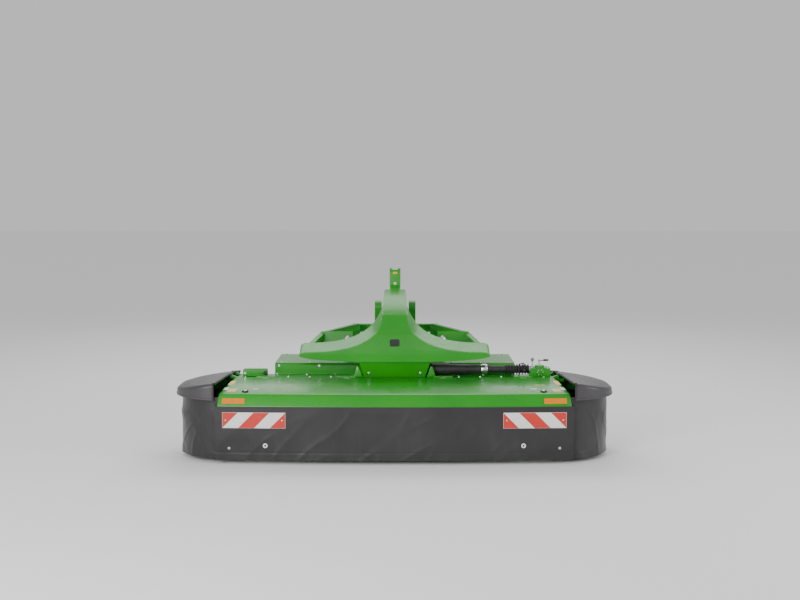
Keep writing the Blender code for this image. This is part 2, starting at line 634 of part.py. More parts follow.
# ---------------------------------------------------------------- conditioner
def make_housing():
    front = HOUSING_FRONT_Y
    top = sheet_outline([(front, DECK_Z + GAP), (front, HOUSING_TOP_Z - 0.02),
                         (front + 0.02, HOUSING_TOP_Z), (HOUSING_REAR_Y, HOUSING_TOP_Z),
                         (HOUSING_REAR_Y + HOUSING_LIP, HOUSING_TOP_Z - 0.06)], -SHEET)
    housing = prism("conditioner_housing", top, "X", -HOUSING_HALF_WIDTH, HOUSING_HALF_WIDTH, GREEN)
    pieces = []
    beam_rear = BEAM_REAR_Y + GAP
    rear = HOUSING_REAR_Y + HOUSING_LIP
    wall = [(front + 0.002, HOUSING_TOP_Z - 0.022), (front + 0.002, DECK_Z + GAP),
            (beam_rear, DECK_Z + GAP), (beam_rear, 0.40), (-0.10, HOUSING_SIDE_BOTTOM_Z),
            (rear, HOUSING_SIDE_BOTTOM_Z), (rear, HOUSING_TOP_Z - 0.066), (HOUSING_REAR_Y, HOUSING_TOP_Z - 0.002),
            (front + 0.02, HOUSING_TOP_Z - 0.002)]
    for name, sign in sides():
        inner = sign * (HOUSING_HALF_WIDTH - HOUSING_WALL)
        outer = sign * HOUSING_HALF_WIDTH
        pieces.append(prism("wall", wall, "X", inner, outer, GREEN))
        lug_low, lug_high = sorted((sign * (DOOR_HINGE_X - 0.02), outer))
        for low in (DOOR_BOTTOM_Z - GAP - DOOR_LUG, DOOR_TOP_Z + GAP):
            pieces.append(block("lug", (lug_low, rear - 0.04, low),
                                (lug_high, DOOR_HINGE_Y + 0.015, low + DOOR_LUG), GREEN))
    return combine(housing, pieces)


def make_conditioning_plate():
    radius = CONDITIONING_RADIUS
    inner = arc((ROTOR_Y, ROTOR_Z), radius, 90 + CONDITIONING_START, 90 + CONDITIONING_END, 12)
    outer = arc((ROTOR_Y, ROTOR_Z), radius + SHEET, 90 + CONDITIONING_START, 90 + CONDITIONING_END, 12)
    half = HOUSING_HALF_WIDTH - HOUSING_WALL - GAP
    return prism("conditioning_plate", inner + list(reversed(outer)), "X", -half, half, GREEN)


def make_rotor():
    stub = HOUSING_HALF_WIDTH - HOUSING_WALL - GAP
    half = ROTOR_HALF_LENGTH
    thin = ROTOR_STUB_RADIUS
    profile = [(thin, 0.0), (thin, stub - half), (ROTOR_TUBE_RADIUS, stub - half),
               (ROTOR_TUBE_RADIUS, stub + half), (thin, stub + half), (thin, 2 * stub)]
    rotor = lathe("conditioner_rotor", profile, (-stub, ROTOR_Y, ROTOR_Z), (stub, ROTOR_Y, ROTOR_Z), 20,
                  DARK_STEEL)
    work = bmesh.new()
    pitch = 2 * (half - 0.05) / (TINE_STATIONS - 1)
    for station in range(TINE_STATIONS):
        for row in range(TINE_ROWS):
            angle = 2 * pi * row / TINE_ROWS + station * 2 * pi / TINE_ROWS / 4
            x = -half + 0.05 + station * pitch
            place = Matrix.Translation((x, ROTOR_Y, ROTOR_Z)) @ Matrix.Rotation(angle, 4, "X")
            inner, outer = ROTOR_TUBE_RADIUS - 0.015, ROTOR_TIP_RADIUS
            middle = (inner + outer) / 2
            made = bmesh.ops.create_cube(work, size=1.0)
            for vert in made["verts"]:
                width = TINE_ROOT if vert.co.z < 0 else TINE_TIP
                vert.co = Vector((vert.co.x * width, vert.co.y * TINE_TIP, middle + vert.co.z * (outer - inner)))
            bmesh.ops.transform(work, matrix=place, verts=made["verts"])
    tines = add_object("tines", work, DARK_STEEL)
    return combine(rotor, [tines])


def make_swath_door(name, sign):
    angle = radians(DOOR_ANGLE)
    start = Vector((sign * DOOR_HINGE_X, DOOR_HINGE_Y, 0))
    line = Vector((-sign * sin(angle), cos(angle), 0))
    middle_z = (DOOR_BOTTOM_Z + DOOR_TOP_Z) / 2
    height = DOOR_TOP_Z - DOOR_BOTTOM_Z - 0.03
    centre = Vector((0, 0, middle_z))
    panel = strut("swath_door_" + name, start + centre + line * 0.004, start + centre + line * DOOR_LENGTH,
                  DOOR_THICK, height, GREEN)
    barrel = rod("barrel", (start.x, start.y, DOOR_BOTTOM_Z), (start.x, start.y, DOOR_TOP_Z), DOOR_BARREL,
                 12, GREEN)
    return combine(panel, [barrel])


# ---------------------------------------------------------------- headstock and hitch
def on_face(x, share):
    """Point on the headstock's steep face, share 0 at its lower edge and 1 at its bend."""
    return Vector((x, HEAD_BOTTOM_Y + (HEAD_BEND_Y - HEAD_BOTTOM_Y) * share,
                   HEAD_BOTTOM_Z + (HEAD_BEND_Z - HEAD_BOTTOM_Z) * share))


def anchor_edge():
    """Right edge of the steep face, from the wing's tip in to the bend: x and share."""
    wing = HEAD_WING_HEIGHT / (HEAD_BEND_Z - HEAD_BOTTOM_Z)
    points = [(HEAD_TIP_X - 0.05, 0.0), (HEAD_TIP_X - 0.012, wing * 0.35), (HEAD_TIP_X, wing * 0.8),
              (HEAD_TIP_X - 0.03, wing * 1.25)]
    steps = 9
    inner, outer = HEAD_BEND_HALF, HEAD_TIP_X - 0.09
    for k in range(steps + 1):
        angle = pi / 2 * k / steps
        x = inner + (outer - inner) * (1 - sin(angle)) ** 1.25
        share = 1 - (1 - wing * 1.3) * cos(angle) ** 1.0
        points.append((x, share))
    return points


def make_headstock_cover():
    edge = anchor_edge()
    work = bmesh.new()
    outline = [(-x, share) for x, share in edge] + [(x, share) for x, share in reversed(edge)]
    face = work.faces.new([work.verts.new(on_face(x, share)) for x, share in outline])
    grown = bmesh.ops.extrude_face_region(work, geom=[face])
    moved = [part for part in grown["geom"] if isinstance(part, bmesh.types.BMVert)]
    for vert in moved:
        share = (vert.co.z - HEAD_BOTTOM_Z) / (HEAD_BEND_Z - HEAD_BOTTOM_Z)
        if abs(vert.co.x) < HEAD_TIP_X - 0.08:
            vert.co.x *= 1 + HEAD_FLARE * sin(pi * share) / abs(vert.co.x)
    bmesh.ops.translate(work, vec=(0, HEAD_DEPTH, HEAD_DEPTH_RISE), verts=moved)
    cover = add_object("headstock_cover", work, GREEN)
    low = HEAD_BOTTOM_Z
    side = [(HEAD_BEND_Y + 0.0005, HEAD_BEND_Z), (HEAD_TOP_Y, HEAD_TOP_Z), (HEAD_TOP_Y, HEAD_TOP_Z - BOOM_DEPTH),
            (HEAD_BEND_Y + 0.06, HEAD_BEND_Z - 0.14), (HEAD_BEND_Y - 0.09, low + 0.15),
            (HEAD_BEND_Y - 0.09, low + 0.11), (HEAD_BEND_Y - 0.14, low + 0.10), (HEAD_BEND_Y - 0.22, low + 0.13)]
    boom = prism("boom", side, "X", -1.0, 1.0, GREEN)
    taper_ends(boom, HEAD_BEND_Y, HEAD_TOP_Y, HEAD_BEND_HALF, HEAD_TOP_HALF)
    return combine(cover, [boom])


def head_underside(y):
    """Height just under the headstock cover's sloping underside."""
    return HEAD_BOTTOM_Z + (y - HEAD_BOTTOM_Y) * HEAD_DEPTH_RISE / HEAD_DEPTH - 1.1 * GAP


def make_pivot_block():
    low = DECK_Z + GAP
    front, rear = PIVOT_FRONT_Y, PIVOT_REAR_Y
    top_front = HEAD_BOTTOM_Y + 0.03
    top_rear = HEAD_BOTTOM_Y + HEAD_DEPTH
    outline = [(front, low), (rear, low), (rear, head_underside(top_rear)), (top_rear, head_underside(top_rear)),
               (top_front, head_underside(top_front)), (top_front, head_underside(top_front) - 0.02)]
    return prism("pivot_block", outline, "X", -PIVOT_HALF_WIDTH, PIVOT_HALF_WIDTH, GREEN)


def make_gearbox():
    base = HOUSING_TOP_Z + GAP
    outline = [(GEARBOX_FRONT_Y, base), (GEARBOX_REAR_Y, base), (GEARBOX_REAR_Y, GEARBOX_TOP_Z - 0.02),
               (GEARBOX_REAR_Y - 0.02, GEARBOX_TOP_Z), (GEARBOX_FRONT_Y + 0.06, GEARBOX_TOP_Z - 0.045),
               (GEARBOX_FRONT_Y, GEARBOX_TOP_Z - 0.09)]
    box = prism("central_gearbox", outline, "X", -GEARBOX_HALF_WIDTH, GEARBOX_HALF_WIDTH, GREEN)
    nose = rod("nose", (0, GEARBOX_REAR_Y - 0.005, PTO_Z), (0, GEARBOX_REAR_Y + PTO_NOSE, PTO_Z), 0.055, 20,
               GREEN)
    combine(box, [nose])
    start = GEARBOX_REAR_Y + PTO_NOSE + GAP
    lathe("pto_input", [(PTO_RADIUS + 0.006, 0), (PTO_RADIUS + 0.006, 0.02), (PTO_RADIUS, 0.024),
                        (PTO_RADIUS, 0.06), (PTO_RADIUS - 0.003, 0.063), (PTO_RADIUS - 0.003, 0.071),
                        (PTO_RADIUS, 0.074), (PTO_RADIUS, PTO_LENGTH)],
          (0, start, PTO_Z), (0, start + 1, PTO_Z), 12, STEEL)


def make_cross_shaft():
    start = (PIVOT_HALF_WIDTH + GAP, SHAFT_Y, SHAFT_Z)
    reach = SHAFT_GUARD_END_X - PIVOT_HALF_WIDTH - 2 * GAP
    lathe("cross_shaft_guard", [(0.054, 0), (0.054, 0.16), (0.044, 0.30), (0.034, 0.56), (0.034, reach)],
          start, (start[0] + 1, SHAFT_Y, SHAFT_Z), 16, BLACK)
    profile = []
    length = BELLOWS_LENGTH
    for rib in range(BELLOWS_RIBS):
        base = rib * length / BELLOWS_RIBS
        profile += [(0.034, base), (0.050, base + length / BELLOWS_RIBS / 2)]
    profile.append((0.034, length))
    lathe("cross_shaft_bellows", profile, (SHAFT_GUARD_END_X, SHAFT_Y, SHAFT_Z),
          (SHAFT_GUARD_END_X + 1, SHAFT_Y, SHAFT_Z), 16, BLACK)


def make_side_gearbox():
    inner, outer = SIDE_BOX_INNER_X, SIDE_BOX_OUTER_X
    box = block("side_gearbox", (inner, SHAFT_Y - 0.06, DECK_Z + GAP), (outer, SHAFT_Y + 0.06, SIDE_BOX_TOP_Z),
                GREEN)
    middle = (inner + outer) / 2
    cap = rod("cap", (middle, SHAFT_Y, SIDE_BOX_TOP_Z - 0.005), (middle, SHAFT_Y, SIDE_CAP_TOP_Z), 0.045, 16, GREEN)
    combine(box, [cap])
    lever_x = inner + 0.025
    top = SIDE_BOX_TOP_Z + GAP
    lever = rod("speed_lever", (lever_x, SHAFT_Y - 0.03, top), (lever_x, SHAFT_Y - 0.03, LEVER_TOP_Z), 0.006, 8,
                STEEL)
    ball = lathe("ball", [(0.006, 0), (0.014, 0.006), (0.018, 0.018), (0.014, 0.030), (0.005, 0.036)],
                 (lever_x, SHAFT_Y - 0.03, LEVER_TOP_Z - 0.007), (lever_x, SHAFT_Y - 0.03, LEVER_TOP_Z + 1), 10,
                 BLACK)
    combine(lever, [ball])
    crank = rod("adjusting_crank", (middle, SHAFT_Y + 0.02, SIDE_CAP_TOP_Z + GAP),
                (middle, SHAFT_Y + 0.02, LEVER_TOP_Z), 0.007, 8, STEEL)
    arm = rod("arm", (middle - 0.012, SHAFT_Y + 0.02, LEVER_TOP_Z - 0.007),
              (middle + 0.085, SHAFT_Y + 0.02, LEVER_TOP_Z - 0.007), 0.006, 8, STEEL)
    combine(crank, [arm])
    end_x = disc_x(DISC_COUNT - 1)
    column = rod("drive_column", (end_x, BAR_Y, DRUM_TOP_Z + RUN_GAP), (end_x, BAR_Y, DECK_Z - 0.03), COLUMN_RADIUS,
                 20, GREEN)
    carrier = block("carrier", (DECK_HALF_WIDTH - 0.06, DECK_FRONT_Y + 0.01, DECK_Z - SHEET - GAP - 0.03),
                    (end_x + 0.05, BEAM_FRONT_Y - GAP, DECK_Z - SHEET - GAP), GREEN)
    combine(column, [carrier])


def make_knife_box():
    block("knife_box", (-DECK_HALF_WIDTH + 0.045, HOUSING_FRONT_Y - 0.12, DECK_Z + GAP),
          (-HOUSING_HALF_WIDTH - 0.06, HOUSING_FRONT_Y - 0.05, DECK_Z + 0.065), GREEN)


def make_springs():
    for name, sign in sides():
        x = sign * SPRING_X
        front = Vector((x, *SPRING_FRONT))
        rear = Vector((x, *SPRING_REAR))
        line = (rear - front).normalized()
        lathe("float_spring_" + name, [(0.014, 0), (0.014, 0.03), (SPRING_RADIUS, 0.031), (SPRING_RADIUS, 0.47),
                                       (0.014, 0.471), (0.014, (rear - front).length)],
              front, front + line, 14, STEEL)
        face = front - line * (PLATE + 2 * GAP)
        lathe("spring_cap_" + name, [(DOME_RADIUS, 0), (DOME_RADIUS * 0.95, 0.012), (DOME_RADIUS * 0.7, 0.026),
                                     (DOME_RADIUS * 0.3, 0.034)],
              face, face - line, 16, ZINC)


def make_arm(name, sign):
    low = HEAD_BOTTOM_Z
    tip = (sign * (HEAD_TIP_X - 0.07), HEAD_BOTTOM_Y + HEAD_DEPTH + 0.071, low + 0.105)
    elbow = (sign * (HEAD_TIP_X - 0.17), 0.16, low + 0.17)
    knee = (sign * (POST_X - 0.02), 0.45, low + 0.22)
    rear = (sign * POST_X, POST_FRONT_Y - GAP - 0.0036, CROSS_TOP_Z - 0.02)
    arm = strut("headstock_arm_" + name, tip, elbow, ARM_WIDTH, ARM_HEIGHT, GREEN)
    pieces = [strut("mid", (sign * (HEAD_TIP_X - 0.155), 0.14, low + 0.168), knee, ARM_WIDTH, ARM_HEIGHT, GREEN),
              strut("rear", (sign * (POST_X - 0.02), 0.43, low + 0.217), rear, ARM_WIDTH, ARM_HEIGHT, GREEN)]
    line = (Vector((0, *SPRING_REAR)) - Vector((0, *SPRING_FRONT))).normalized()
    front = Vector((0, *SPRING_FRONT)) - line * GAP
    up = Vector((0, -line.z, line.y))
    corners = [front + up * 0.075, front - up * 0.045, front - up * 0.045 - line * PLATE,
               front + up * 0.075 - line * PLATE]
    low, high = sorted((sign * (SPRING_X - 0.05), sign * (HEAD_TIP_X - 0.15)))
    pieces.append(prism("spring_plate", [(p.y, p.z) for p in corners], "X", low, high, GREEN))
    return combine(arm, pieces)


def make_hitch_frame():
    front, rear = POST_FRONT_Y, POST_REAR_Y
    frame = block("hitch_frame", (-POST_X - POST_SIZE / 2, front, CROSS_TOP_Z - POST_SIZE),
                  (POST_X + POST_SIZE / 2, rear, CROSS_TOP_Z), GREEN)
    pieces = [block("low_cross", (-POST_X - POST_SIZE / 2, front + 0.005, POST_BOTTOM_Z + 0.03),
                    (POST_X + POST_SIZE / 2, rear - 0.005, POST_BOTTOM_Z + 0.11), GREEN)]
    for name, sign in sides():
        x = sign * POST_X
        pieces.append(block("post", (x - POST_SIZE / 2, front, POST_BOTTOM_Z),
                            (x + POST_SIZE / 2, rear, CROSS_TOP_Z - 0.01), GREEN))
        lobe = arc((POST_Y + 0.02, CROSS_TOP_Z + 0.17), 0.07, 0, 180, 8)
        lobe += [(POST_Y - 0.045, CROSS_TOP_Z - 0.02), (POST_Y + 0.038, CROSS_TOP_Z - 0.02)]
        inner, outer = sorted((sign * 0.14, sign * 0.21))
        pieces.append(prism("lobe", lobe, "X", inner, outer, GREEN))
        inner, outer = sorted((sign * (POST_X - POST_SIZE / 2 - LINK_EAR_OUT),
                               sign * (POST_X + POST_SIZE / 2 + LINK_EAR_OUT)))
        for side_x in (inner, outer - LINK_EAR_THICK):
            ear = [(front - 0.01, LINK_Z - 0.07), (LINK_EAR_Y - 0.05, LINK_Z - 0.07), (LINK_EAR_Y, LINK_Z - 0.02),
                   (LINK_EAR_Y, LINK_Z + 0.03), (LINK_EAR_Y - 0.05, LINK_Z + 0.07), (front - 0.01, LINK_Z + 0.09)]
            pieces.append(prism("ear", ear, "X", side_x, side_x + LINK_EAR_THICK, GREEN))
        hanger_inner, hanger_outer = sorted((sign * (POST_X + 0.02), sign * (STAND_X + 0.035)))
        pieces.append(block("stand_hanger", (hanger_inner, front + 0.01, STAND_PIVOT_Z - 0.035),
                            (hanger_outer, STAND_Y - STAND_TUBE / 2 - GAP, STAND_PIVOT_Z + 0.06), GREEN))
    return combine(frame, pieces)


def make_link_pins():
    start = LINK_EAR_Y - 0.055
    for name, sign in sides():
        low, high = sorted((sign * (POST_X - POST_SIZE / 2 + GAP), sign * (POST_X + POST_SIZE / 2 - GAP)))
        rod("lower_link_pin_" + name, (low, start, LINK_Z), (high, start, LINK_Z), LINK_PIN_RADIUS, 14, STEEL)


def make_mast():
    rear = POST_FRONT_Y - GAP
    top = MAST_TOP_Z
    outline = [(HEAD_TOP_Y + GAP, HEAD_TOP_Z - BOOM_DEPTH - 0.02), (rear, CROSS_TOP_Z - 0.06),
               (rear, CROSS_TOP_Z + 0.04), (rear - 0.04, top - 0.25), (rear - 0.06, top - 0.03), (rear - 0.09, top),
               (rear - 0.16, top), (rear - 0.19, top - 0.03), (rear - 0.21, HEAD_TOP_Z + 0.03),
               (HEAD_TOP_Y + GAP, HEAD_TOP_Z - 0.01)]
    mast = prism("headstock_mast", outline, "X", -MAST_HALF_WIDTH, MAST_HALF_WIDTH, GREEN)
    slot = block("slot", (-MAST_SLOT_HALF, rear - 0.17, top - 0.17), (MAST_SLOT_HALF, rear + 0.08, top + 0.1), GREEN)
    combine(mast, [slot], "DIFFERENCE")
    reach = MAST_SLOT_HALF - GAP
    rod("top_link_pin", (-reach, rear - 0.115, top - 0.055), (reach, rear - 0.115, top - 0.055), TOP_PIN_RADIUS, 12,
        STEEL)


def make_stand(name, sign):
    foot_x = sign * (STAND_X + 0.008)
    leg = strut("stand_" + name, (foot_x, STAND_Y, 0.004), (sign * STAND_X, STAND_Y, STAND_PIVOT_Z + 0.03),
                STAND_TUBE, STAND_TUBE, GREEN)
    foot = block("foot", (foot_x - STAND_FOOT / 2, STAND_Y - STAND_FOOT / 2, 0.0),
                 (foot_x + STAND_FOOT / 2, STAND_Y + STAND_FOOT / 2, 0.008), GREEN)
    return combine(leg, [foot])


def build():
    clear_scene()
    make_deck()
    make_end_plates()
    make_front_guard()
    for name, sign in sides():
        make_side_cover(name, sign)
        make_swath_door(name, sign)
        make_arm(name, sign)
        make_stand(name, sign)
    make_cutterbar()
    for index in range(DISC_COUNT):
        make_disc(index)
    make_housing()
    make_conditioning_plate()
    make_rotor()
    make_headstock_cover()
    make_pivot_block()
    make_gearbox()
    make_cross_shaft()
    make_side_gearbox()
    make_knife_box()
    make_springs()
    make_hitch_frame()
    make_link_pins()
    make_mast()


build()
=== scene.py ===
# Front disc mower conditioner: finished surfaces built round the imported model.
import bpy
import bmesh
import json
from math import sin, cos, pi, radians, exp
from mathutils import Matrix, Vector, noise
from mathutils.bvhtree import BVHTree


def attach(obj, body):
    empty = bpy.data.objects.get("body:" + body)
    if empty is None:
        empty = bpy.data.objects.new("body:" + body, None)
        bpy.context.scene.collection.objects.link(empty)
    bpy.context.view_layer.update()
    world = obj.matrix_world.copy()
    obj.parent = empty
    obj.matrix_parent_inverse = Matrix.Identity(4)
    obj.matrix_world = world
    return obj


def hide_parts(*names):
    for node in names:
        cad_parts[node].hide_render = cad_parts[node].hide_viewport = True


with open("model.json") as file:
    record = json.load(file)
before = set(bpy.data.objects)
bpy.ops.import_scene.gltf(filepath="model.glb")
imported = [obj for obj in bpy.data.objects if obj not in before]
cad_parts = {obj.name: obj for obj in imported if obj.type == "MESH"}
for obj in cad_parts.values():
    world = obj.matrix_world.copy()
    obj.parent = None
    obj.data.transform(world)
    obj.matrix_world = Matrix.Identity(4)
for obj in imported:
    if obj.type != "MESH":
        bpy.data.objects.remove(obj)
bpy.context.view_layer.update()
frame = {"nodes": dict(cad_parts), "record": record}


# materials

class Wire:
    def __init__(self, finish, socket):
        self.finish = finish
        self.socket = socket

    def sum(self, operation, other=0.0):
        return self.finish.make("Math", {"operation": operation}, {0: self, 1: other})

    def __add__(self, other):
        return self.sum("ADD", other)

    def __radd__(self, other):
        return self.sum("ADD", other)

    def __mul__(self, other):
        return self.sum("MULTIPLY", other)

    def __rmul__(self, other):
        return self.sum("MULTIPLY", other)


class Finish:
    def __init__(self, name, roughness=0.5, metallic=0.0, **fixed):
        self.material = bpy.data.materials.new(name)
        self.material.use_nodes = True
        self.tree = self.material.node_tree
        self.shader = self.tree.nodes["Principled BSDF"]
        self.shader.inputs["Roughness"].default_value = roughness
        self.shader.inputs["Metallic"].default_value = metallic
        for socket, value in fixed.items():
            self.shader.inputs[socket.replace("_", " ")].default_value = value
        self.place = self.make("TexCoord", output="Object")

    def make(self, kind, settings=None, inputs=None, output=0):
        node = self.tree.nodes.new("ShaderNode" + kind)
        for name, value in (settings or {}).items():
            if name == "stops":
                for stop, (position, colour) in zip(self.stopsOf(node, value), value):
                    stop.position = position
                    stop.color = colour if len(colour) == 4 else (*colour, 1.0)
            else:
                setattr(node, name, value)
        for name, value in (inputs or {}).items():
            if isinstance(value, Wire):
                self.tree.links.new(value.socket, node.inputs[name])
            else:
                node.inputs[name].default_value = value
        return Wire(self, node.outputs[output])

    def stopsOf(self, node, stops):
        while len(node.color_ramp.elements) < len(stops):
            node.color_ramp.elements.new(1.0)
        return node.color_ramp.elements

    def speckle(self, scale, detail=3.0, stretch=None):
        place = self.place
        if stretch:
            place = self.make("Mapping", inputs={"Vector": place, "Scale": stretch})
        return self.make("TexNoise", inputs={"Vector": place, "Scale": scale, "Detail": detail})

    def between(self, wire, low, high):
        return self.make("MapRange", inputs={"Value": wire, "From Min": low, "From Max": high})

    def blendColour(self, factor, first, second, blend="MIX"):
        return self.make("Mix", {"data_type": "RGBA", "blend_type": blend},
                         {0: factor, 6: rgba(first), 7: rgba(second)}, output=2)

    def feed(self, socket, wire):
        self.tree.links.new(wire.socket, self.shader.inputs[socket])

    def relief(self, height, strength, distance):
        self.feed("Normal", self.make("Bump", inputs={"Height": height, "Strength": strength,
                                                      "Distance": distance}))


def rgba(colour):
    return colour if isinstance(colour, Wire) or len(colour) == 4 else (*colour, 1.0)


def separate(finish):
    axes = [finish.make("SeparateXYZ", inputs={0: finish.place}, output=axis) for axis in "XYZ"]
    return axes


paint = {"main": (0.009, 0.270, 0.003), "shade": (0.007, 0.228, 0.003), "rough": 0.27,
         "dust": (0.16, 0.20, 0.08)}


def greenPaint():
    finish = Finish("greenEnamel", paint["rough"], 0.0, Coat_Weight=0.1, Coat_Roughness=0.05, IOR=1.5)
    cloud = finish.between(finish.speckle(2.2, 4.0), 0.35, 0.65)
    colour = finish.blendColour(cloud, paint["shade"], paint["main"])
    height = separate(finish)[2]
    low = finish.between(height, 0.32, 0.02)
    grime = finish.between(finish.speckle(38.0, 6.0), 0.44, 0.70) * low * 0.55
    colour = finish.blendColour(grime, colour, paint["dust"])
    finish.feed("Base Color", colour)
    smear = finish.between(finish.speckle(14.0), 0.3, 0.7)
    finish.feed("Roughness", smear * 0.08 + paint["rough"] + grime * 0.4)
    finish.relief(finish.speckle(260.0, 1.0), 0.008, 0.0001)
    return finish.material


def plasticGrey():
    finish = Finish("charcoalPlastic", 0.42, 0.0, IOR=1.46)
    cloud = finish.between(finish.speckle(5.0, 5.0), 0.3, 0.7)
    finish.feed("Base Color", finish.blendColour(cloud, (0.046, 0.043, 0.046), (0.062, 0.058, 0.062)))
    scuff = finish.between(finish.speckle(60.0, 4.0, (1.0, 0.18, 1.0)), 0.58, 0.75)
    finish.feed("Roughness", scuff * 0.18 + 0.36)
    grain = finish.make("TexVoronoi", inputs={"Vector": finish.place, "Scale": 620.0})
    finish.relief(grain, 0.16, 0.0006)
    return finish.material


def curtainCloth():
    finish = Finish("coatedCurtain", 0.5, 0.0, Sheen_Weight=0.08, Sheen_Roughness=0.5)
    x, y, z = separate(finish)
    cloud = finish.between(finish.speckle(3.0, 6.0), 0.32, 0.70)
    colour = finish.blendColour(cloud, (0.015, 0.014, 0.015), (0.024, 0.022, 0.023))
    splash = finish.speckle(9.0, 7.0, (1.0, 1.0, 0.35))
    stain = finish.between(splash, 0.50, 0.78) * finish.between(z, 0.45, 0.05)
    colour = finish.blendColour(stain * 0.5, colour, (0.050, 0.046, 0.040))
    finish.feed("Base Color", colour)
    finish.feed("Roughness", cloud * 0.12 + 0.33)
    across = ((x + y) * 1600.0).sum("SINE")
    upright = (z * 1600.0).sum("SINE")
    finish.relief(across * upright, 0.10, 0.0004)
    return finish.material


def plainRubber():
    finish = Finish("blackRubber", 0.55, 0.0)
    cloud = finish.between(finish.speckle(30.0, 4.0), 0.3, 0.75)
    finish.feed("Base Color", finish.blendColour(cloud, (0.012, 0.012, 0.012), (0.030, 0.030, 0.030)))
    finish.feed("Roughness", cloud * 0.2 + 0.42)
    finish.relief(finish.speckle(300.0, 2.0), 0.12, 0.0005)
    return finish.material


def steel(name, dark, bright, roughness):
    finish = Finish(name, roughness, 1.0)
    cloud = finish.between(finish.speckle(20.0, 6.0), 0.32, 0.72)
    finish.feed("Base Color", finish.blendColour(cloud, dark, bright))
    streak = finish.between(finish.speckle(90.0, 3.0, (1.0, 6.0, 1.0)), 0.3, 0.7)
    finish.feed("Roughness", streak * 0.16 + roughness)
    finish.relief(finish.speckle(240.0, 2.0), 0.03, 0.0002)
    return finish.material


def plateFinish(name, colour, roughness=0.32, beads=900.0):
    finish = Finish(name, roughness, 0.0, Coat_Weight=0.3, Coat_Roughness=0.15)
    cloud = finish.between(finish.speckle(25.0, 4.0), 0.25, 0.8)
    darker = tuple(0.86 * part for part in colour)
    finish.feed("Base Color", finish.blendColour(cloud, darker, colour))
    finish.feed("Roughness", cloud * 0.1 + roughness)
    cells = finish.make("TexVoronoi", inputs={"Vector": finish.place, "Scale": beads})
    finish.relief(cells, 0.12, 0.0004)
    return finish.material


looks = {
    "green": greenPaint(),
    "grey": plasticGrey(),
    "cloth": curtainCloth(),
    "rubber": plainRubber(),
    "steel": steel("machinedSteel", (0.34, 0.34, 0.35), (0.55, 0.55, 0.56), 0.28),
    "darkSteel": steel("hardenedSteel", (0.060, 0.061, 0.065), (0.105, 0.105, 0.110), 0.34),
    "zinc": steel("zincPlate", (0.62, 0.63, 0.65), (0.80, 0.81, 0.83), 0.18),
    "red": plateFinish("signRed", (0.62, 0.022, 0.010)),
    "white": plateFinish("signWhite", (0.82, 0.82, 0.80)),
    "yellow": plateFinish("labelYellow", (0.78, 0.47, 0.002), 0.3, 200.0),
    "amber": plateFinish("amberLens", (0.75, 0.22, 0.003), 0.18, 520.0),
}
print("materials ready")


# modelling helpers

bodyOf = {node: body for body, nodes in frame["record"]["behaviour"]["bodies"].items() for node in nodes}
slotOf = {part["node"]: part["material_slot"] for part in frame["record"]["subparts"]}
lookOf = {"green_paint": "green", "grey_plastic": "grey", "curtain_fabric": "cloth", "black_rubber": "rubber",
          "bare_steel": "steel", "dark_steel": "darkSteel", "zinc_plate": "zinc", "warning_red": "red",
          "amber_reflector": "amber"}
sideSigns = (("left", -1), ("right", 1))


def piece(name, work, look, body, slot, *nodes, smooth=35, weighted=False):
    mesh = bpy.data.meshes.new(name)
    work.to_mesh(mesh)
    work.free()
    mesh.shade_smooth()
    mesh.set_sharp_from_angle(angle=radians(smooth))
    item = bpy.data.objects.new(name, mesh)
    bpy.context.collection.objects.link(item)
    mesh.materials.append(looks[look])
    if weighted:
        item.modifiers.new("normals", "WEIGHTED_NORMAL").keep_sharp = True
    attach(item, body)
    if nodes:
        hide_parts(*nodes)
    return item


def newVerts(geom):
    return [part for part in geom if isinstance(part, bmesh.types.BMVert)]


def roundEdges(work, width, angle=28, segments=2, keep=None):
    edges = [edge for edge in work.edges if len(edge.link_faces) == 2
             and edge.calc_face_angle(0) > radians(angle) and (keep is None or keep(edge))]
    bmesh.ops.bevel(work, geom=edges, offset=width, segments=segments, profile=0.5, affect="EDGES",
                    clamp_overlap=True, material=-1)


def boxIn(work, low, high):
    made = bmesh.ops.create_cube(work, size=1.0)["verts"]
    low, high = Vector(low), Vector(high)
    bmesh.ops.scale(work, vec=high - low, verts=made)
    bmesh.ops.translate(work, vec=(low + high) / 2, verts=made)
    return made


def aimed(start, end):
    line = Vector(end) - Vector(start)
    return Matrix.Translation(start) @ line.to_track_quat("Z", "Y").to_matrix().to_4x4()


def rodIn(work, start, end, radius, tip=None, segments=24):
    length = (Vector(end) - Vector(start)).length
    made = bmesh.ops.create_cone(work, cap_ends=True, segments=segments, radius1=radius,
                                 radius2=radius if tip is None else tip, depth=length)["verts"]
    bmesh.ops.translate(work, vec=(0, 0, length / 2), verts=made)
    bmesh.ops.transform(work, matrix=aimed(start, end), verts=made)
    return made


def joinTo(work, part):
    mesh = bpy.data.meshes.new("part")
    part.to_mesh(mesh)
    part.free()
    work.from_mesh(mesh)
    bpy.data.meshes.remove(mesh)


def addPart(work, build):
    part = bmesh.new()
    build(part)
    joinTo(work, part)


def turnedIn(work, profile, start, end, segments=32, climb=0.0, turns=1):
    # profile runs as radius and distance from start, along the line to end
    part = bmesh.new()
    line = [part.verts.new((radius, 0, along)) for radius, along in profile]
    edges = [part.edges.new(pair) for pair in zip(line, line[1:])]
    if climb:
        edges.append(part.edges.new((line[-1], line[0])))
    bmesh.ops.spin(part, geom=line + edges, axis=(0, 0, 1), cent=(0, 0, 0), steps=segments * turns,
                   angle=2 * pi * turns, dvec=(0, 0, climb / segments), use_merge=not climb)
    bmesh.ops.remove_doubles(part, verts=part.verts, dist=0.00002)
    bmesh.ops.transform(part, matrix=aimed(start, end), verts=part.verts)
    bmesh.ops.recalc_face_normals(part, faces=part.faces)
    joinTo(work, part)


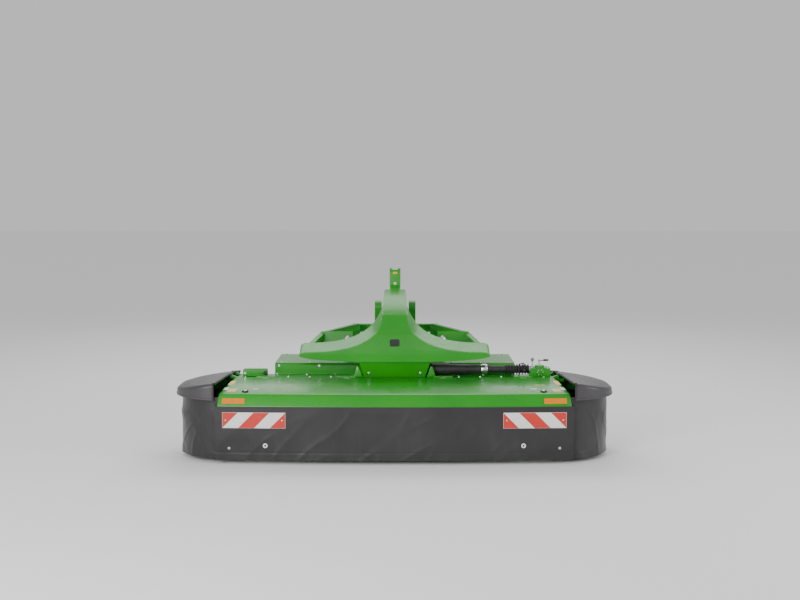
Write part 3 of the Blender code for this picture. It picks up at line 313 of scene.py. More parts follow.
def hexBolt(work, foot, out, size=0.010):
    foot, out = Vector(foot), Vector(out).normalized()
    rodIn(work, foot, foot + out * size * 0.2, size * 1.35, segments=18)
    rodIn(work, foot + out * size * 0.2, foot + out * size * 0.85, size, segments=6)
    rodIn(work, foot + out * size * 0.85, foot + out * size * 1.15, size * 0.5, size * 0.42, segments=12)


def extruded(work, outline, step):
    # closed outline of 3-D points, carried along step
    corners = [work.verts.new(point) for point in outline]
    face = work.faces.new(corners)
    grown = bmesh.ops.extrude_face_region(work, geom=[face])["geom"]
    moved = newVerts(grown)
    bmesh.ops.translate(work, vec=step, verts=moved)
    bmesh.ops.recalc_face_normals(work, faces=work.faces)
    return corners + moved


def arcPoints(centre, radius, start, end, steps):
    return [(centre[0] + radius * cos(radians(start + (end - start) * k / steps)),
             centre[1] + radius * sin(radians(start + (end - start) * k / steps))) for k in range(steps + 1)]


def roundedBox(wide, tall, radius):
    # outline of a flat box with round corners, about its middle
    middles = ((wide, tall), (-wide, tall), (-wide, -tall), (wide, -tall))
    return [point for k, middle in enumerate(middles)
            for point in arcPoints(middle, radius, 90 * k, 90 * k + 90, 5)]


def softened(line, radius, steps=4):
    # polyline with its inner corners rounded
    made = [line[0]]
    for before, corner, after in zip(line, line[1:], line[2:]):
        corner = Vector(corner)
        first = (Vector(before) - corner)
        second = (Vector(after) - corner)
        reach = min(radius, first.length * 0.45, second.length * 0.45)
        first, second = corner + first.normalized() * reach, corner + second.normalized() * reach
        for k in range(steps + 1):
            t = k / steps
            made.append(tuple(first * (1 - t) ** 2 + corner * 2 * t * (1 - t) + second * t ** 2))
    made.append(line[-1])
    return made


def loft(work, rings, closed=False):
    # rings of equal counts, joined one to the next
    made = []
    for ring in rings:
        verts = [work.verts.new(point) for point in ring]
        pairs = list(zip(verts, verts[1:] + (verts[:1] if closed else [])))
        made.append((verts, [work.edges.new(pair) for pair in pairs]))
    for (_, lower), (_, upper) in zip(made, made[1:]):
        bmesh.ops.bridge_loops(work, edges=lower + upper)
    return [verts for verts, _ in made]


trees = {}


def onTo(node, start, way):
    # place and direction of a CAD node's surface seen from start
    if node not in trees:
        data = frame["nodes"][node].data
        corners = [v.co for v in data.vertices]
        trees[node] = BVHTree.FromPolygons(corners, [face.vertices for face in data.polygons])
    place, normal, face, far = trees[node].ray_cast(Vector(start), Vector(way).normalized())
    return place, normal


def toLeft(work, sign):
    if sign < 0:
        bmesh.ops.scale(work, vec=(-1, 1, 1), verts=work.verts)
        bmesh.ops.reverse_faces(work, faces=work.faces)


def thickened(line, depth):
    # closed outline: the line, and the same line moved depth to its right
    moved = []
    for k, point in enumerate(line):
        before = Vector(line[max(k - 1, 0)])
        after = Vector(line[min(k + 1, len(line) - 1)])
        way = (after - before).normalized()
        moved.append((point[0] + way.y * depth, point[1] - way.x * depth))
    return list(line) + moved[::-1]


# front guard

guard = {"hingeY": -0.47, "hingeZ": 0.70, "bendY": -0.94, "bendZ": 0.625, "lipY": -0.996, "lipZ": 0.515,
         "return": 0.03, "sheet": 0.006, "halfFront": 1.58, "halfRear": 1.475, "round": 0.022,
         "knuckles": (0.45, 1.2), "knuckleLong": 0.06, "bow": 0.045}


def guardHalf(y):
    share = min(max((y + 1.0) / (guard["hingeY"] + 1.0), 0.0), 1.0)
    return guard["halfFront"] + (guard["halfRear"] - guard["halfFront"]) * share


def onGuard(x, y, lift=0.0):
    run, rise = guard["hingeY"] - 0.016 - guard["bendY"], guard["hingeZ"] - guard["bendZ"]
    out = Vector((0, -rise, run)).normalized()
    return Vector((x, y, guard["bendZ"] + (y - guard["bendY"]) * rise / run)) + out * lift, out


def bow(x, y):
    # the guard's lip and its curtain swell forward a little at the middle
    share = min(max((guard["hingeY"] - y) / (guard["hingeY"] - guard["bendY"]), 0.0), 1.0)
    return guard["bow"] * share * (1 - min(abs(x) / 1.6, 1.0) ** 2)


def bowed(work):
    for v in work.verts:
        v.co.y -= bow(v.co.x, v.co.y)


def makeFrontGuard():
    line = softened([(guard["lipY"] + guard["return"], guard["lipZ"]), (guard["lipY"], guard["lipZ"]),
                     (guard["bendY"], guard["bendZ"]), (guard["hingeY"] - 0.016, guard["hingeZ"])],
                    guard["round"], 6)
    work = bmesh.new()
    extruded(work, [(-1.0, y, z) for y, z in thickened(line, guard["sheet"])], (2.0, 0, 0))
    for v in work.verts:
        v.co.x = guardHalf(v.co.y) * (1 if v.co.x > 0 else -1)
    roundEdges(work, 0.0012, 40)
    for k in range(1, 32):
        geometry = list(work.verts) + list(work.edges) + list(work.faces)
        bmesh.ops.bisect_plane(work, geom=geometry, plane_co=(0.1 * (k - 16), 0, 0), plane_no=(1, 0, 0))
    bowed(work)
    for centre in (sign * x for x in guard["knuckles"] for sign in (-1, 1)):
        low, high = centre - guard["knuckleLong"] / 2, centre + guard["knuckleLong"] / 2
        tab = [(low, guard["hingeY"], guard["hingeZ"] - 0.006),
               (low, guard["hingeY"], guard["hingeZ"] + 0.006),
               (low, guard["hingeY"] - 0.05, guard["hingeZ"] - 0.004),
               (low, guard["hingeY"] - 0.05, guard["hingeZ"] - 0.012)]
        addPart(work, lambda part: extruded(part, tab, (guard["knuckleLong"], 0, 0)))
        turnedIn(work, [(0, 0), (0.009, 0), (0.011, 0.002), (0.011, 0.058), (0.009, 0.06), (0, 0.06)],
                 (low, guard["hingeY"], guard["hingeZ"]), (high, guard["hingeY"], guard["hingeZ"]), 20)
    piece("guardPanel", work, "green", "front_guard", "green_paint", "front_guard_panel")


# curtains

curtain = {"top": 0.5210, "bottom": 0.04, "half": 1.60, "front": -1.0, "thick": 0.004, "hem": 0.068,
           "plateX": 1.25, "plateHalf": 0.30, "plateLow": 0.315,
           "sideTop": 0.595, "inset": 0.036, "rounder": 0.10}


def crease(along, z, seed, size):
    # folds that run aslant, sharper at their crests
    first = noise.noise(Vector((along * 1.7 + z * 1.1, z * 1.3, seed)))
    second = noise.noise(Vector((along * 3.6 - z * 3.0, z * 2.0 + 7.0, seed + 3.1)))
    third = noise.noise(Vector((along * 9.0 + z * 6.5, z * 4.0, seed + 9.7)))
    ridge = 1 - abs(second) * 3.2
    return size * (0.9 * first + 0.55 * max(ridge, 0) ** 2 + 0.25 * third)


def hemStep(z):
    rise = z - curtain["bottom"] - curtain["hem"]
    return 0.0012 * (1 if rise < -0.004 else 0) - 0.0012 * exp(-(rise / 0.0035) ** 2)


def cloth(name, columns, rows, place, body, node):
    # place(s, t, depth) gives the point of the sheet, depth behind its outer face
    work = bmesh.new()
    for depth in (0.0, curtain["thick"]):
        made = bmesh.ops.create_grid(work, x_segments=columns, y_segments=rows, size=0.5)["verts"]
        for v in made:
            v.co = place(v.co.x + 0.5, v.co.y + 0.5, depth)
    edges = [edge for edge in work.edges if edge.is_boundary]
    bmesh.ops.bridge_loops(work, edges=edges)
    bmesh.ops.recalc_face_normals(work, faces=work.faces)
    return piece(name, work, "cloth", body, "curtain_fabric", node, smooth=50)


def frontPlace(s, t, depth):
    x = (2 * s - 1) * curtain["half"]
    z = curtain["bottom"] + (curtain["top"] - curtain["bottom"]) * t
    loose = min(1.0, (1 - t) * 4.5)
    near = max(0.0, 1 - max(abs(abs(x) - curtain["plateX"]) - curtain["plateHalf"], 0) / 0.08)
    high = max(0.0, 1 - max(curtain["plateLow"] - z, 0) / 0.08)
    ends = min(1.0, (curtain["half"] - abs(x)) / 0.05 + 0.15)
    fold = crease(x, z, 2.0, 0.0072) * loose * (1 - near * high) * ends
    y = curtain["front"] + 0.0015 - bow(x, curtain["front"]) - fold - hemStep(z) + depth
    return Vector((x, y, z))


def makeFrontCurtain():
    sheet = cloth("frontCurtainCloth", 260, 60, frontPlace, "front_guard", "front_curtain")
    stitches, rings = bmesh.new(), bmesh.new()
    line = curtain["bottom"] + curtain["hem"] + 0.006
    for row in (line, curtain["top"] - 0.014):
        t = (row - curtain["bottom"]) / (curtain["top"] - curtain["bottom"])
        for k in range(200):
            ends = [frontPlace((k + part) / 200, t, -0.0004) for part in (0.2, 0.75)]
            rodIn(stitches, ends[0], ends[1], 0.0009, segments=5)
    for x, z in ((-1.475, 0.147), (-1.15, 0.172), (1.15, 0.172), (1.475, 0.147)):
        s, t = (x / curtain["half"] + 1) / 2, (z - curtain["bottom"]) / (curtain["top"] - curtain["bottom"])
        place = frontPlace(s, t, 0.0)
        size = 0.021 if abs(x) < 1.3 else 0.011
        turnedIn(rings, [(size * 0.45, -0.001), (size * 0.45, 0.0018), (size * 0.6, 0.0030),
                         (size * 0.85, 0.0030),
                         (size, 0.0012), (size, -0.001)], place, place + Vector((0, -1, 0)), 28)
    thread = piece("curtainStitches", stitches, "rubber", "front_guard", "curtain_fabric")
    eyelets = piece("curtainEyelets", rings, "white", "front_guard", "curtain_fabric")


# side covers

cover = {"innerFront": 1.60, "innerRear": 1.485, "front": -0.985, "rear": -0.05, "crown": 0.735,
         "edge": 0.655,
         "rim": 0.565, "trim": 0.012, "corner": 0.36, "cornerRear": 0.30, "out": 2.0, "shell": 0.005,
         "ears": (-0.43, -0.26), "barrel": 0.018, "sag": 0.11, "lift": 0.024}


def hingeX(y):
    share = (y - cover["front"]) / (cover["rear"] - cover["front"])
    return cover["innerFront"] + (cover["innerRear"] - cover["innerFront"]) * share


def coverPlan(inset, fine=18, rounder=0.0):
    corner, out = cover["corner"] + rounder - inset, cover["out"] - inset
    front, rear = cover["front"] + inset, cover["rear"] - inset
    back = cover["cornerRear"] - inset
    start, end = (hingeX(rear) + cover["trim"], rear), (hingeX(front) + cover["trim"], front)
    rearArc = arcPoints((out - back, rear - back), back, 90, 0, fine)
    frontArc = arcPoints((out - corner, front + corner), corner, 0, -90, fine)
    line = []
    for first, last, count in ((start, rearArc[0], 6), (rearArc[-1], frontArc[0], 8), (frontArc[-1], end, 6)):
        line.append([(first[0] + (last[0] - first[0]) * k / count,
                      first[1] + (last[1] - first[1]) * k / count)
                     for k in range(count + 1)])
    return line[0][:-1] + rearArc + line[1][1:-1] + frontArc + line[2][1:]


def coverTop(x, y):
    share = min(max((x - cover["innerRear"]) / (cover["out"] - cover["innerRear"]), 0.0), 1.0)
    back = min(max((y - cover["front"]) / (cover["rear"] - cover["front"]), 0.0), 1.0)
    fall = (cover["edge"] - cover["crown"]) * share ** 1.4
    return cover["crown"] + fall - cover["sag"] * max(back - 0.45, 0) ** 2


def coverRim(x):
    share = min(max((x - cover["innerRear"]) / (cover["out"] - cover["innerRear"]), 0.0), 1.0)
    return cover["rim"] + cover["lift"] * share


def coverRings(depth):
    rings = [[(x, y, coverRim(x)) for x, y in coverPlan(depth)]]
    if depth == 0:
        rings.append([(x, y, coverRim(x) + 0.014) for x, y in coverPlan(0.0)])
        rings.append([(x, y, coverRim(x) + 0.018) for x, y in coverPlan(0.004)])
    wall, bend = depth + (0.005 if depth == 0 else 0.004), 0.030
    base = coverPlan(wall)
    for k in range(7):
        turn = radians(90 * k / 6)
        plan = coverPlan(wall + bend * (1 - cos(turn)))
        rings.append([(x, y, coverTop(x0, y0) - depth - bend + bend * sin(turn) - 0.002)
                      for (x, y), (x0, y0) in zip(plan, base)])
    last = rings[-1]
    for k in range(1, 9):
        ring = []
        for x, y, z in last:
            inner = hingeX(y) + cover["trim"]
            across = inner + (x - inner) * (1 - k / 8)
            sag = 0.0015 * noise.noise(Vector((across * 2.2, y * 2.2, 4.0)))
            ring.append((across, y, coverTop(across, y) - depth - 0.002 + sag))
        rings.append(ring)
    return rings


def makeSideCover(side, sign):
    node, body = "side_cover_" + side, side + "_side_guard"
    work = bmesh.new()
    outer, inner = coverRings(0.0), coverRings(cover["shell"])
    loft(work, outer[::-1] + inner)
    bmesh.ops.remove_doubles(work, verts=work.verts, dist=0.0004)
    bmesh.ops.recalc_face_normals(work, faces=work.faces)
    for y in cover["ears"]:
        z = cover["crown"] - 0.012
        low = (hingeX(y - cover["barrel"]), y - cover["barrel"], z)
        high = (hingeX(y + cover["barrel"]), y + cover["barrel"], z)
        rodIn(work, low, high, 0.008, segments=20)
        boxIn(work, (hingeX(y), y - cover["barrel"], z - 0.003),
              (hingeX(y) + 0.04, y + cover["barrel"], z + 0.004))
    toLeft(work, sign)
    piece("coverShell_" + side, work, "grey", body, "grey_plastic", node, smooth=40)
    trim = bmesh.new()
    along = [cover["front"] + 0.02 + (cover["rear"] - cover["front"] - 0.04) * k / 8 for k in range(9)]
    beads = [(hingeX(y) + cover["trim"], y, coverTop(hingeX(y), y) - 0.010) for y in along]
    for start, end in zip(beads, beads[1:]):
        rodIn(trim, start, end, 0.011, segments=14)
    foot = (hingeX(cover["front"]) + cover["trim"] + 0.004, cover["front"] + 0.001)
    drop = [(*foot, z) for z in (0.566, 0.730)]
    rodIn(trim, drop[0], drop[1], 0.008, segments=12)
    toLeft(trim, sign)
    piece("coverTrim_" + side, trim, "rubber", body, "grey_plastic")


def makeSideCurtain(side, sign):
    node, body = "side_curtain_" + side, side + "_side_guard"
    path = [Vector((x, y, 0)) for x, y in coverPlan(curtain["inset"], 18, curtain["rounder"])]
    runs = [0.0]
    for a, b in zip(path, path[1:]):
        runs.append(runs[-1] + (b - a).length)

    def place(s, t, depth):
        along = min(max(s, 0.0), 1.0) * runs[-1]
        k = min(max(sum(1 for run in runs if run <= along) - 1, 0), len(path) - 2)
        way = (path[k + 1] - path[k]).normalized()
        point = path[k] + way * (along - runs[k])
        out = Vector((-way.y, way.x, 0))
        z = curtain["bottom"] + (curtain["sideTop"] - curtain["bottom"]) * t
        free = min(1.0, max(0.0, 0.555 - z) * 7) * min(1.0, 0.2 + (1 - abs(2 * s - 1)) * 12)
        fold = crease(along * 1.5, z * 1.2, 21.0 + sign, 0.0125) * free + 0.004 * (1 - t) * free
        point = point + out * (min(fold, 0.018) + hemStep(z) - 0.002 - depth)
        return Vector((sign * point.x, point.y, z))

    sheet = cloth("curtainCloth_" + side, 150, 60, place, body, node)


makeFrontGuard()
makeFrontCurtain()
for side, sign in sideSigns:
    makeSideCover(side, sign)
    makeSideCurtain(side, sign)
print("guards and curtains made")


# headstock

head = {"bottom": (-0.52, 0.85), "bend": (-0.16, 1.25), "top": (0.40, 1.45), "bendHalf": 0.120,
        "topHalf": 0.105,
        "tip": 0.90, "wing": 0.1375, "depth": (0, 0.21, 0.07), "flare": 0.045, "boom": 0.13}


def onFace(x, share):
    return Vector((x, head["bottom"][0] + (head["bend"][0] - head["bottom"][0]) * share,
                   head["bottom"][1] + (head["bend"][1] - head["bottom"][1]) * share))


def anchorEdge():
    tip, wing = head["tip"], head["wing"]
    lower = softened([(0.30, 0.0), (0.52, 0.012), (tip - 0.10, wing * 0.42), (tip, wing * 0.85),
                      (tip - 0.035, wing * 1.32), (tip - 0.10, wing * 1.36)], 0.09, 5)
    curve = []
    for k in range(25):
        turn = pi / 2 * k / 24
        x = head["bendHalf"] + (tip - 0.13 - head["bendHalf"]) * (1 - sin(turn)) ** 1.25
        curve.append((x, 1 - (1 - wing * 1.38) * cos(turn)))
    return lower + curve


def makeHeadCover():
    edge = anchorEdge()
    work = bmesh.new()
    outline = [(-x, share) for x, share in edge] + [(x, share) for x, share in reversed(edge)]
    steps = 6
    rings = []
    for k in range(steps + 1):
        part = k / steps
        ring = []
        for x, share in outline:
            out = x * (1 + head["flare"] * sin(pi * share) * part ** 0.8 / abs(x)) if abs(x) < 0.80 else x
            ring.append(onFace(out, share) + Vector(head["depth"]) * part)
        rings.append(ring)
    loops = loft(work, rings, closed=True)
    work.faces.new(loops[0])
    work.faces.new(loops[-1])
    bmesh.ops.recalc_face_normals(work, faces=work.faces)
    bendY, bendZ = head["bend"]
    roundEdges(work, 0.007, 38, 3, keep=lambda e: min(v.co.z for v in e.verts) < bendZ - 0.03)

    def boom(part):
        low = head["bottom"][1]
        topY, topZ = head["top"]
        side = [(bendY - 0.0004, bendZ + 0.0004), (topY, topZ), (topY, topZ - head["boom"]),
                (bendY + 0.06, bendZ - 0.14),
                (bendY - 0.09, low + 0.15), (bendY - 0.09, low + 0.11), (bendY - 0.14, low + 0.10),
                (bendY - 0.22, low + 0.13)]
        extruded(part, [(-1.0, y, z) for y, z in side], (2.0, 0, 0))
        for v in part.verts:
            share = min(max((v.co.y - bendY) / (topY - bendY), 0), 1)
            half = head["bendHalf"] + (head["topHalf"] - head["bendHalf"]) * share
            v.co.x = half if v.co.x > 0 else -half
        roundEdges(part, 0.007, 28, 3, keep=lambda e: max(v.co.y for v in e.verts) > bendY + 0.01)
    addPart(work, boom)
    piece("headCover", work, "green", "machine_frame", "green_paint", "headstock_cover", smooth=32)
    blank = bmesh.new()
    way = (onFace(0, 1) - onFace(0, 0)).normalized()
    out = Vector((0, -way.z, way.y))
    foot = onFace(0, 0.40)
    corners = [foot + Vector((x, 0, 0)) + way * s - out * 0.001 for x, s in roundedBox(0.030, 0.024, 0.016)]
    extruded(blank, corners, out * 0.0022)
    piece("blankPlate", blank, "rubber", "machine_frame", "green_paint")


block = {"half": 0.345, "foot": 0.285}


def makePivotBlock():
    work = bmesh.new()
    work.from_mesh(frame["nodes"]["pivot_block"].data)
    bmesh.ops.remove_doubles(work, verts=work.verts, dist=0.00002)
    bmesh.ops.dissolve_limit(work, angle_limit=radians(1.0), verts=work.verts, edges=work.edges)
    low = min(v.co.z for v in work.verts)
    high = max(v.co.z for v in work.verts)
    for v in work.verts:
        share = 1 - min((v.co.z - low) / (high - low) * 1.25, 1.0)
        v.co.x *= 1 - (1 - block["foot"] / block["half"]) * share
    roundEdges(work, 0.010, 28, 3)
    piece("pivotBody", work, "green", "machine_frame", "green_paint", "pivot_block", smooth=40, weighted=True)


# springs and their caps

spring = {"x": 0.465, "front": (0.115, 0.985), "rear": (0.7197, 0.905), "radius": 0.045, "wire": 0.0062,
          "turns": 15}


def makeSpring(side, sign):
    work = bmesh.new()
    start = Vector((sign * spring["x"], *spring["front"]))
    end = Vector((sign * spring["x"], *spring["rear"]))
    length, way = (end - start).length, (end - start).normalized()
    wire, middle = spring["wire"], spring["radius"] - spring["wire"]
    ring = [(middle + wire * cos(2 * pi * k / 10), 0.024 + wire * sin(2 * pi * k / 10)) for k in range(10)]
    climb = (length - 0.048) / spring["turns"]
    turnedIn(work, ring, start, end, 26, climb, spring["turns"])
    for foot in (start, end - way * 0.022):
        turnedIn(work, [(0, 0), (0.040, 0), (0.043, 0.003), (0.043, 0.009), (0.030, 0.012), (0.030, 0.022),
                        (0, 0.022)],
                 foot, foot + way, 28)
    rodIn(work, start, end, 0.011, segments=18)
    piece("coilSpring_" + side, work, "darkSteel", bodyOf["float_spring_" + side],
          slotOf["float_spring_" + side],
          "float_spring_" + side, smooth=50)


# signs, latches and blank labels

plate = {"x": 1.25, "z": 0.40, "long": 0.565, "high": 0.141, "front": -1.0003, "thick": 0.003, "bands": 5,
         "slant": 0.141}


def makeWarningPlate(side, sign):
    half, tall = plate["long"] / 2, plate["high"] / 2
    front, x = plate["front"], sign * plate["x"]
    work = bmesh.new()
    boxIn(work, (x - half, front - plate["thick"] + 0.0004, plate["z"] - tall),
          (x + half, front, plate["z"] + tall))
    roundEdges(work, 0.0006, 28, 1)
    node = "warning_plate_" + side
    bowed(work)
    piece("plate_" + side, work, "white", "front_guard", slotOf[node], node)
    width = (plate["long"] + plate["slant"]) / plate["bands"]
    way = Vector((sign * plate["high"], 0, plate["slant"])).normalized()
    across = Vector((way.z, 0, -way.x))
    stripes = bmesh.new()
    for band in range(0, plate["bands"], 2):
        def stripe(part, band=band):
            boxIn(part, (x - half + 0.002, front - plate["thick"], plate["z"] - tall + 0.002),
                  (x + half - 0.002, front - plate["thick"] + 0.0010, plate["z"] + tall - 0.002))
            for edge, keep in ((band, 1), (band + 1, -1)):
                offset = -half - plate["slant"] / 2 + edge * width
                cut = Vector((x + offset, 0, plate["z"]))
                normal = Vector((plate["high"], 0, sign * plate["slant"])).normalized() * keep
                geometry = list(part.verts) + list(part.edges) + list(part.faces)
                bmesh.ops.bisect_plane(part, geom=geometry, plane_co=cut, plane_no=normal, clear_inner=True)
        addPart(stripes, stripe)
    bowed(stripes)
    piece("plateStripes_" + side, stripes, "red", "front_guard", slotOf[node])
    screws = bmesh.new()
    for dx in (-half + 0.03, half - 0.03):
        turnedIn(screws, [(0, 0.0035), (0.004, 0.0033), (0.0065, 0.0016), (0.007, -0.001)],
                 (x + dx, front - plate["thick"], plate["z"]), (x + dx, front - 1, plate["z"]), 18)
    bowed(screws)
    piece("plateScrews_" + side, screws, "zinc", "front_guard", "zinc_plate")


def makeLatch(side, sign):
    node = "latch_" + side
    foot, out = onGuard(sign * 1.34, -0.87, 0.0003)
    work = bmesh.new()
    turnedIn(work, [(0.030, 0), (0.031, 0.004), (0.027, 0.008), (0.0235, 0.009), (0.022, 0.005), (0, 0.005)],
             foot, foot + out, 36)
    bowed(work)
    piece("latchRing_" + side, work, "rubber", "front_guard", slotOf[node], node)
    core = bmesh.new()
    turnedIn(core, [(0.0165, 0.004), (0.0165, 0.010), (0.014, 0.012), (0.008, 0.012), (0.006, 0.009),
                    (0, 0.009)],
             foot, foot + out, 30)
    bowed(core)
    piece("latchCore_" + side, core, "zinc", "front_guard", "zinc_plate")


def makeLabels():
    # blank stickers beside the guard's slanted ends
    work, pale = bmesh.new(), bmesh.new()
    spots = ((1.492, -0.64, 0.046, 0.110, 1), (1.522, -0.80, 0.040, 0.060, 0),
             (1.462, -0.84, 0.075, 0.075, 1),
             (1.255, -0.80, 0.055, 0.016, 0), (1.325, -0.70, 0.090, 0.014, 1))
    for sign in (-1, 1):
        for x, y, wide, deep, yellow in spots:
            if sign < 0 and x == 1.325:
                continue
            lean = -0.105 / 0.53
            corners = []
            for u, v in ((-1, -1), (1, -1), (1, 1), (-1, 1)):
                place, out = onGuard(sign * (x + u * wide / 2 + v * deep / 2 * lean), y + v * deep / 2,
                                     -0.0005)
                corners.append(place)
            addPart(work if yellow else pale, lambda part: extruded(part, corners, out * 0.0012))
    bowed(work)
    bowed(pale)
    piece("labelsYellow", work, "yellow", "front_guard", "green_paint")
    piece("labelsWhite", pale, "white", "front_guard", "green_paint")


makeHeadCover()
makePivotBlock()
for side, sign in sideSigns:
    makeSpring(side, sign)
    makeWarningPlate(side, sign)
    makeLatch(side, sign)
makeLabels()
print("headstock, springs and signs made")


# the cutting discs' places, used by their own section and the bar's bolts

disc = {"pitch": 0.437222, "y": -0.40, "low": 0.100, "thick": 0.010, "long": 0.185, "short": 0.150,
        "knifeTip": 0.2617, "knifeWide": 0.046, "knifeThick": 0.005, "drumTop": 0.44}


# fasteners and small fittings

def boltRow(name, node, starts, way, size, look="zinc"):
    work = bmesh.new()
    for start in starts:
        place, normal = onTo(node, start, way)
        if place:
            lift = Vector((0, -bow(place.x, place.y), 0)) if bodyOf[node] == "front_guard" else Vector()
            addPart(work, lambda part: hexBolt(part, place + lift - normal * 0.001, normal, size))
    piece(name, work, look, bodyOf[node], "zinc_plate", smooth=30)


def spread(low, high, count, y, z):
    return [(low + (high - low) * k / (count - 1), y, z) for k in range(count)]


def mirrored(places):
    return [(sign * x, y, z) for sign in (-1, 1) for x, y, z in places]


down, rearward, forward = (0, 0, -1), (0, 1, 0), (0, -1, 0)
sideHoles = [(1.6, y, z) for y in (-0.12, 0.28) for z in (0.28, 0.50, 0.70)]
endHoles = [(2.4, y, z) for y in (-0.45, -0.25) for z in (0.12, 0.60)]
flangeHoles = [(0.075 * cos(k * pi / 3 + 0.5), 1.0, 0.895 + 0.062 * sin(k * pi / 3 + 0.5)) for k in range(6)]
barHoles = [((k - 3.0) * disc["pitch"] + dx, disc["y"], 0.6) for k in range(7) for dx in (-0.03, 0.03)]
boltRows = (
    ("deckBolts", "deck_frame", spread(-1.40, 1.40, 15, -0.40, 1.5), down, 0.009),
    ("deckRearBolts", "deck_frame", spread(-1.40, 1.40, 11, -0.255, 1.5), down, 0.010),
    ("housingTopBolts", "conditioner_housing",
     spread(-1.08, 1.08, 9, -0.21, 1.5) + spread(-1.08, 1.08, 9, 0.34, 1.5), down, 0.010),
    ("housingFrontBolts", "conditioner_housing", mirrored([(1.10, -1.5, 0.775), (0.72, -1.5, 0.775)]),
     rearward, 0.008),
    ("housingSideBolts", "conditioner_housing", mirrored(sideHoles), (-1, 0, 0), 0.011),
    ("housingSideBoltsLeft", "conditioner_housing", [(-x, y, z) for x, y, z in sideHoles], (1, 0, 0), 0.011),
    ("gearboxBolts", "central_gearbox", mirrored([(0.085, y, 2.0) for y in (-0.20, -0.11, -0.02)]), down,
     0.008),
    ("gearboxRearBolts", "central_gearbox", flangeHoles, forward, 0.007),
    ("sideBoxBolts", "side_gearbox", [(x, y, 1.5) for x in (1.29, 1.44) for y in (-0.375, -0.300)], down,
     0.008),
    ("knifeBoxBolts", "knife_box", [(x, -1.0, 0.722) for x in (-1.41, -1.22)], rearward, 0.008),
    ("endPlateBolts", "end_plate_right", endHoles, (-1, 0, 0), 0.012),
    ("endPlateBoltsLeft", "end_plate_left", [(-x, y, z) for x, y, z in endHoles], (1, 0, 0), 0.012),
    ("pivotBolts", "pivot_block", mirrored([(0.24, -1.0, 0.735)]), rearward, 0.012),
    ("mastBolts", "headstock_mast", [(0.0, -1.0, 1.50)], rearward, 0.010),
    ("frameBolts", "hitch_frame", mirrored([(x, 2.0, 1.02) for x in (0.36, 0.27, 0.05)]), forward, 0.012),
    ("barBolts", "cutterbar", barHoles, down, 0.009, "darkSteel"))
for row in boltRows:
    boltRow(*row)

fittings = {"shaftY": -0.345, "shaftZ": 0.757, "sleeveX": 0.815, "bandX": (1.040, 1.262)}


def onAxis(x):
    return x, fittings["shaftY"], fittings["shaftZ"]


def makeFittings():
    sleeve = bmesh.new()
    turnedIn(sleeve, [(0.0455, 0), (0.0485, 0.006), (0.0485, 0.050), (0.0455, 0.056)],
             onAxis(fittings["sleeveX"]), onAxis(fittings["sleeveX"] + 0.056), 32)
    for x in fittings["bandX"]:
        turnedIn(sleeve, [(0.036, 0), (0.0405, 0.002), (0.0405, 0.010), (0.036, 0.012)],
                 onAxis(x), onAxis(x + 0.012), 28)
    piece("shaftBands", sleeve, "zinc", "machine_frame", "zinc_plate")
    label = bmesh.new()
    place, normal = onTo("conditioner_housing", (1.02, -1.0, 0.752), (0, 1, 0))
    if place:
        boxIn(label, place - Vector((0.10, 0.0008, 0.012)), place + Vector((0.10, 0.0004, 0.012)))
    place, normal = onTo("headstock_mast", (0, -1.0, 1.60), (0, 1, 0))
    if place and normal.y < -0.7:
        boxIn(label, place - Vector((0.022, 0.0008, 0.016)), place + Vector((0.022, 0.0004, 0.016)))
    piece("labelsBody", label, "yellow", "machine_frame", "green_paint")
    rods = bmesh.new()
    foot, normal = onTo("deck_frame", (1.165, -0.42, 1.5), (0, 0, -1))
    line = [tuple(foot - Vector((0, 0, 0.002))), tuple(foot + Vector((0, 0, 0.125))),
            tuple(foot + Vector((0.045, 0, 0.135))), tuple(foot + Vector((0.050, 0, 0.065)))]
    for start, end in zip(line, line[1:]):
        rodIn(rods, start, end, 0.005, segments=12)
        bmesh.ops.transform(rods, matrix=Matrix.Translation(end), verts=bmesh.ops.create_uvsphere(
            rods, u_segments=12, v_segments=8, radius=0.005)["verts"])
    knob = bmesh.ops.create_uvsphere(rods, u_segments=20, v_segments=12, radius=0.013)["verts"]
    bmesh.ops.translate(rods, vec=Vector(line[-1]), verts=knob)
    crank = [v.co for v in frame["nodes"]["adjusting_crank"].data.vertices]
    top = max(point.z for point in crank)
    ends = [point for point in crank if point.z > top - 0.012]
    y, z = sum(point.y for point in ends) / len(ends), sum(point.z for point in ends) / len(ends)
    reach = max(point.x for point in ends)
    grip = [(0, 0), (0.009, 0.002), (0.0105, 0.010), (0.0085, 0.030), (0.0095, 0.046), (0, 0.050)]
    turnedIn(rods, grip, (reach - 0.048, y, z), (reach, y, z), 20)
    piece("handRods", rods, "rubber", "machine_frame", "black_rubber")
    edges = bmesh.new()
    for sign in (-1, 1):
        face, normal = onTo("pivot_block", (sign * 0.25, -1.0, 0.74), (0, 1, 0))
        y = face.y
        shape = ((0.300, 0.700), (0.385, 0.700), (0.352, 0.800), (0.338, 0.800))
        web = [(sign * x, y - 0.004, z) for x, z in shape]
        addPart(edges, lambda part: extruded(part, web, (0, 0.012, 0)))
        deck, normal = onTo("deck_frame", (sign * 0.36, -0.40, 1.5), (0, 0, -1))
        addPart(edges, lambda part: boxIn(part, (sign * 0.36 - 0.04, -0.445, deck.z - 0.002),
                                          (sign * 0.36 + 0.04, -0.26, deck.z + 0.010)))
    bmesh.ops.recalc_face_normals(edges, faces=edges.faces)
    roundEdges(edges, 0.002, 40, 2)
    piece("pivotFlanges", edges, "green", "machine_frame", "green_paint")


makeFittings()
print("fasteners and fittings made")


# cutting discs

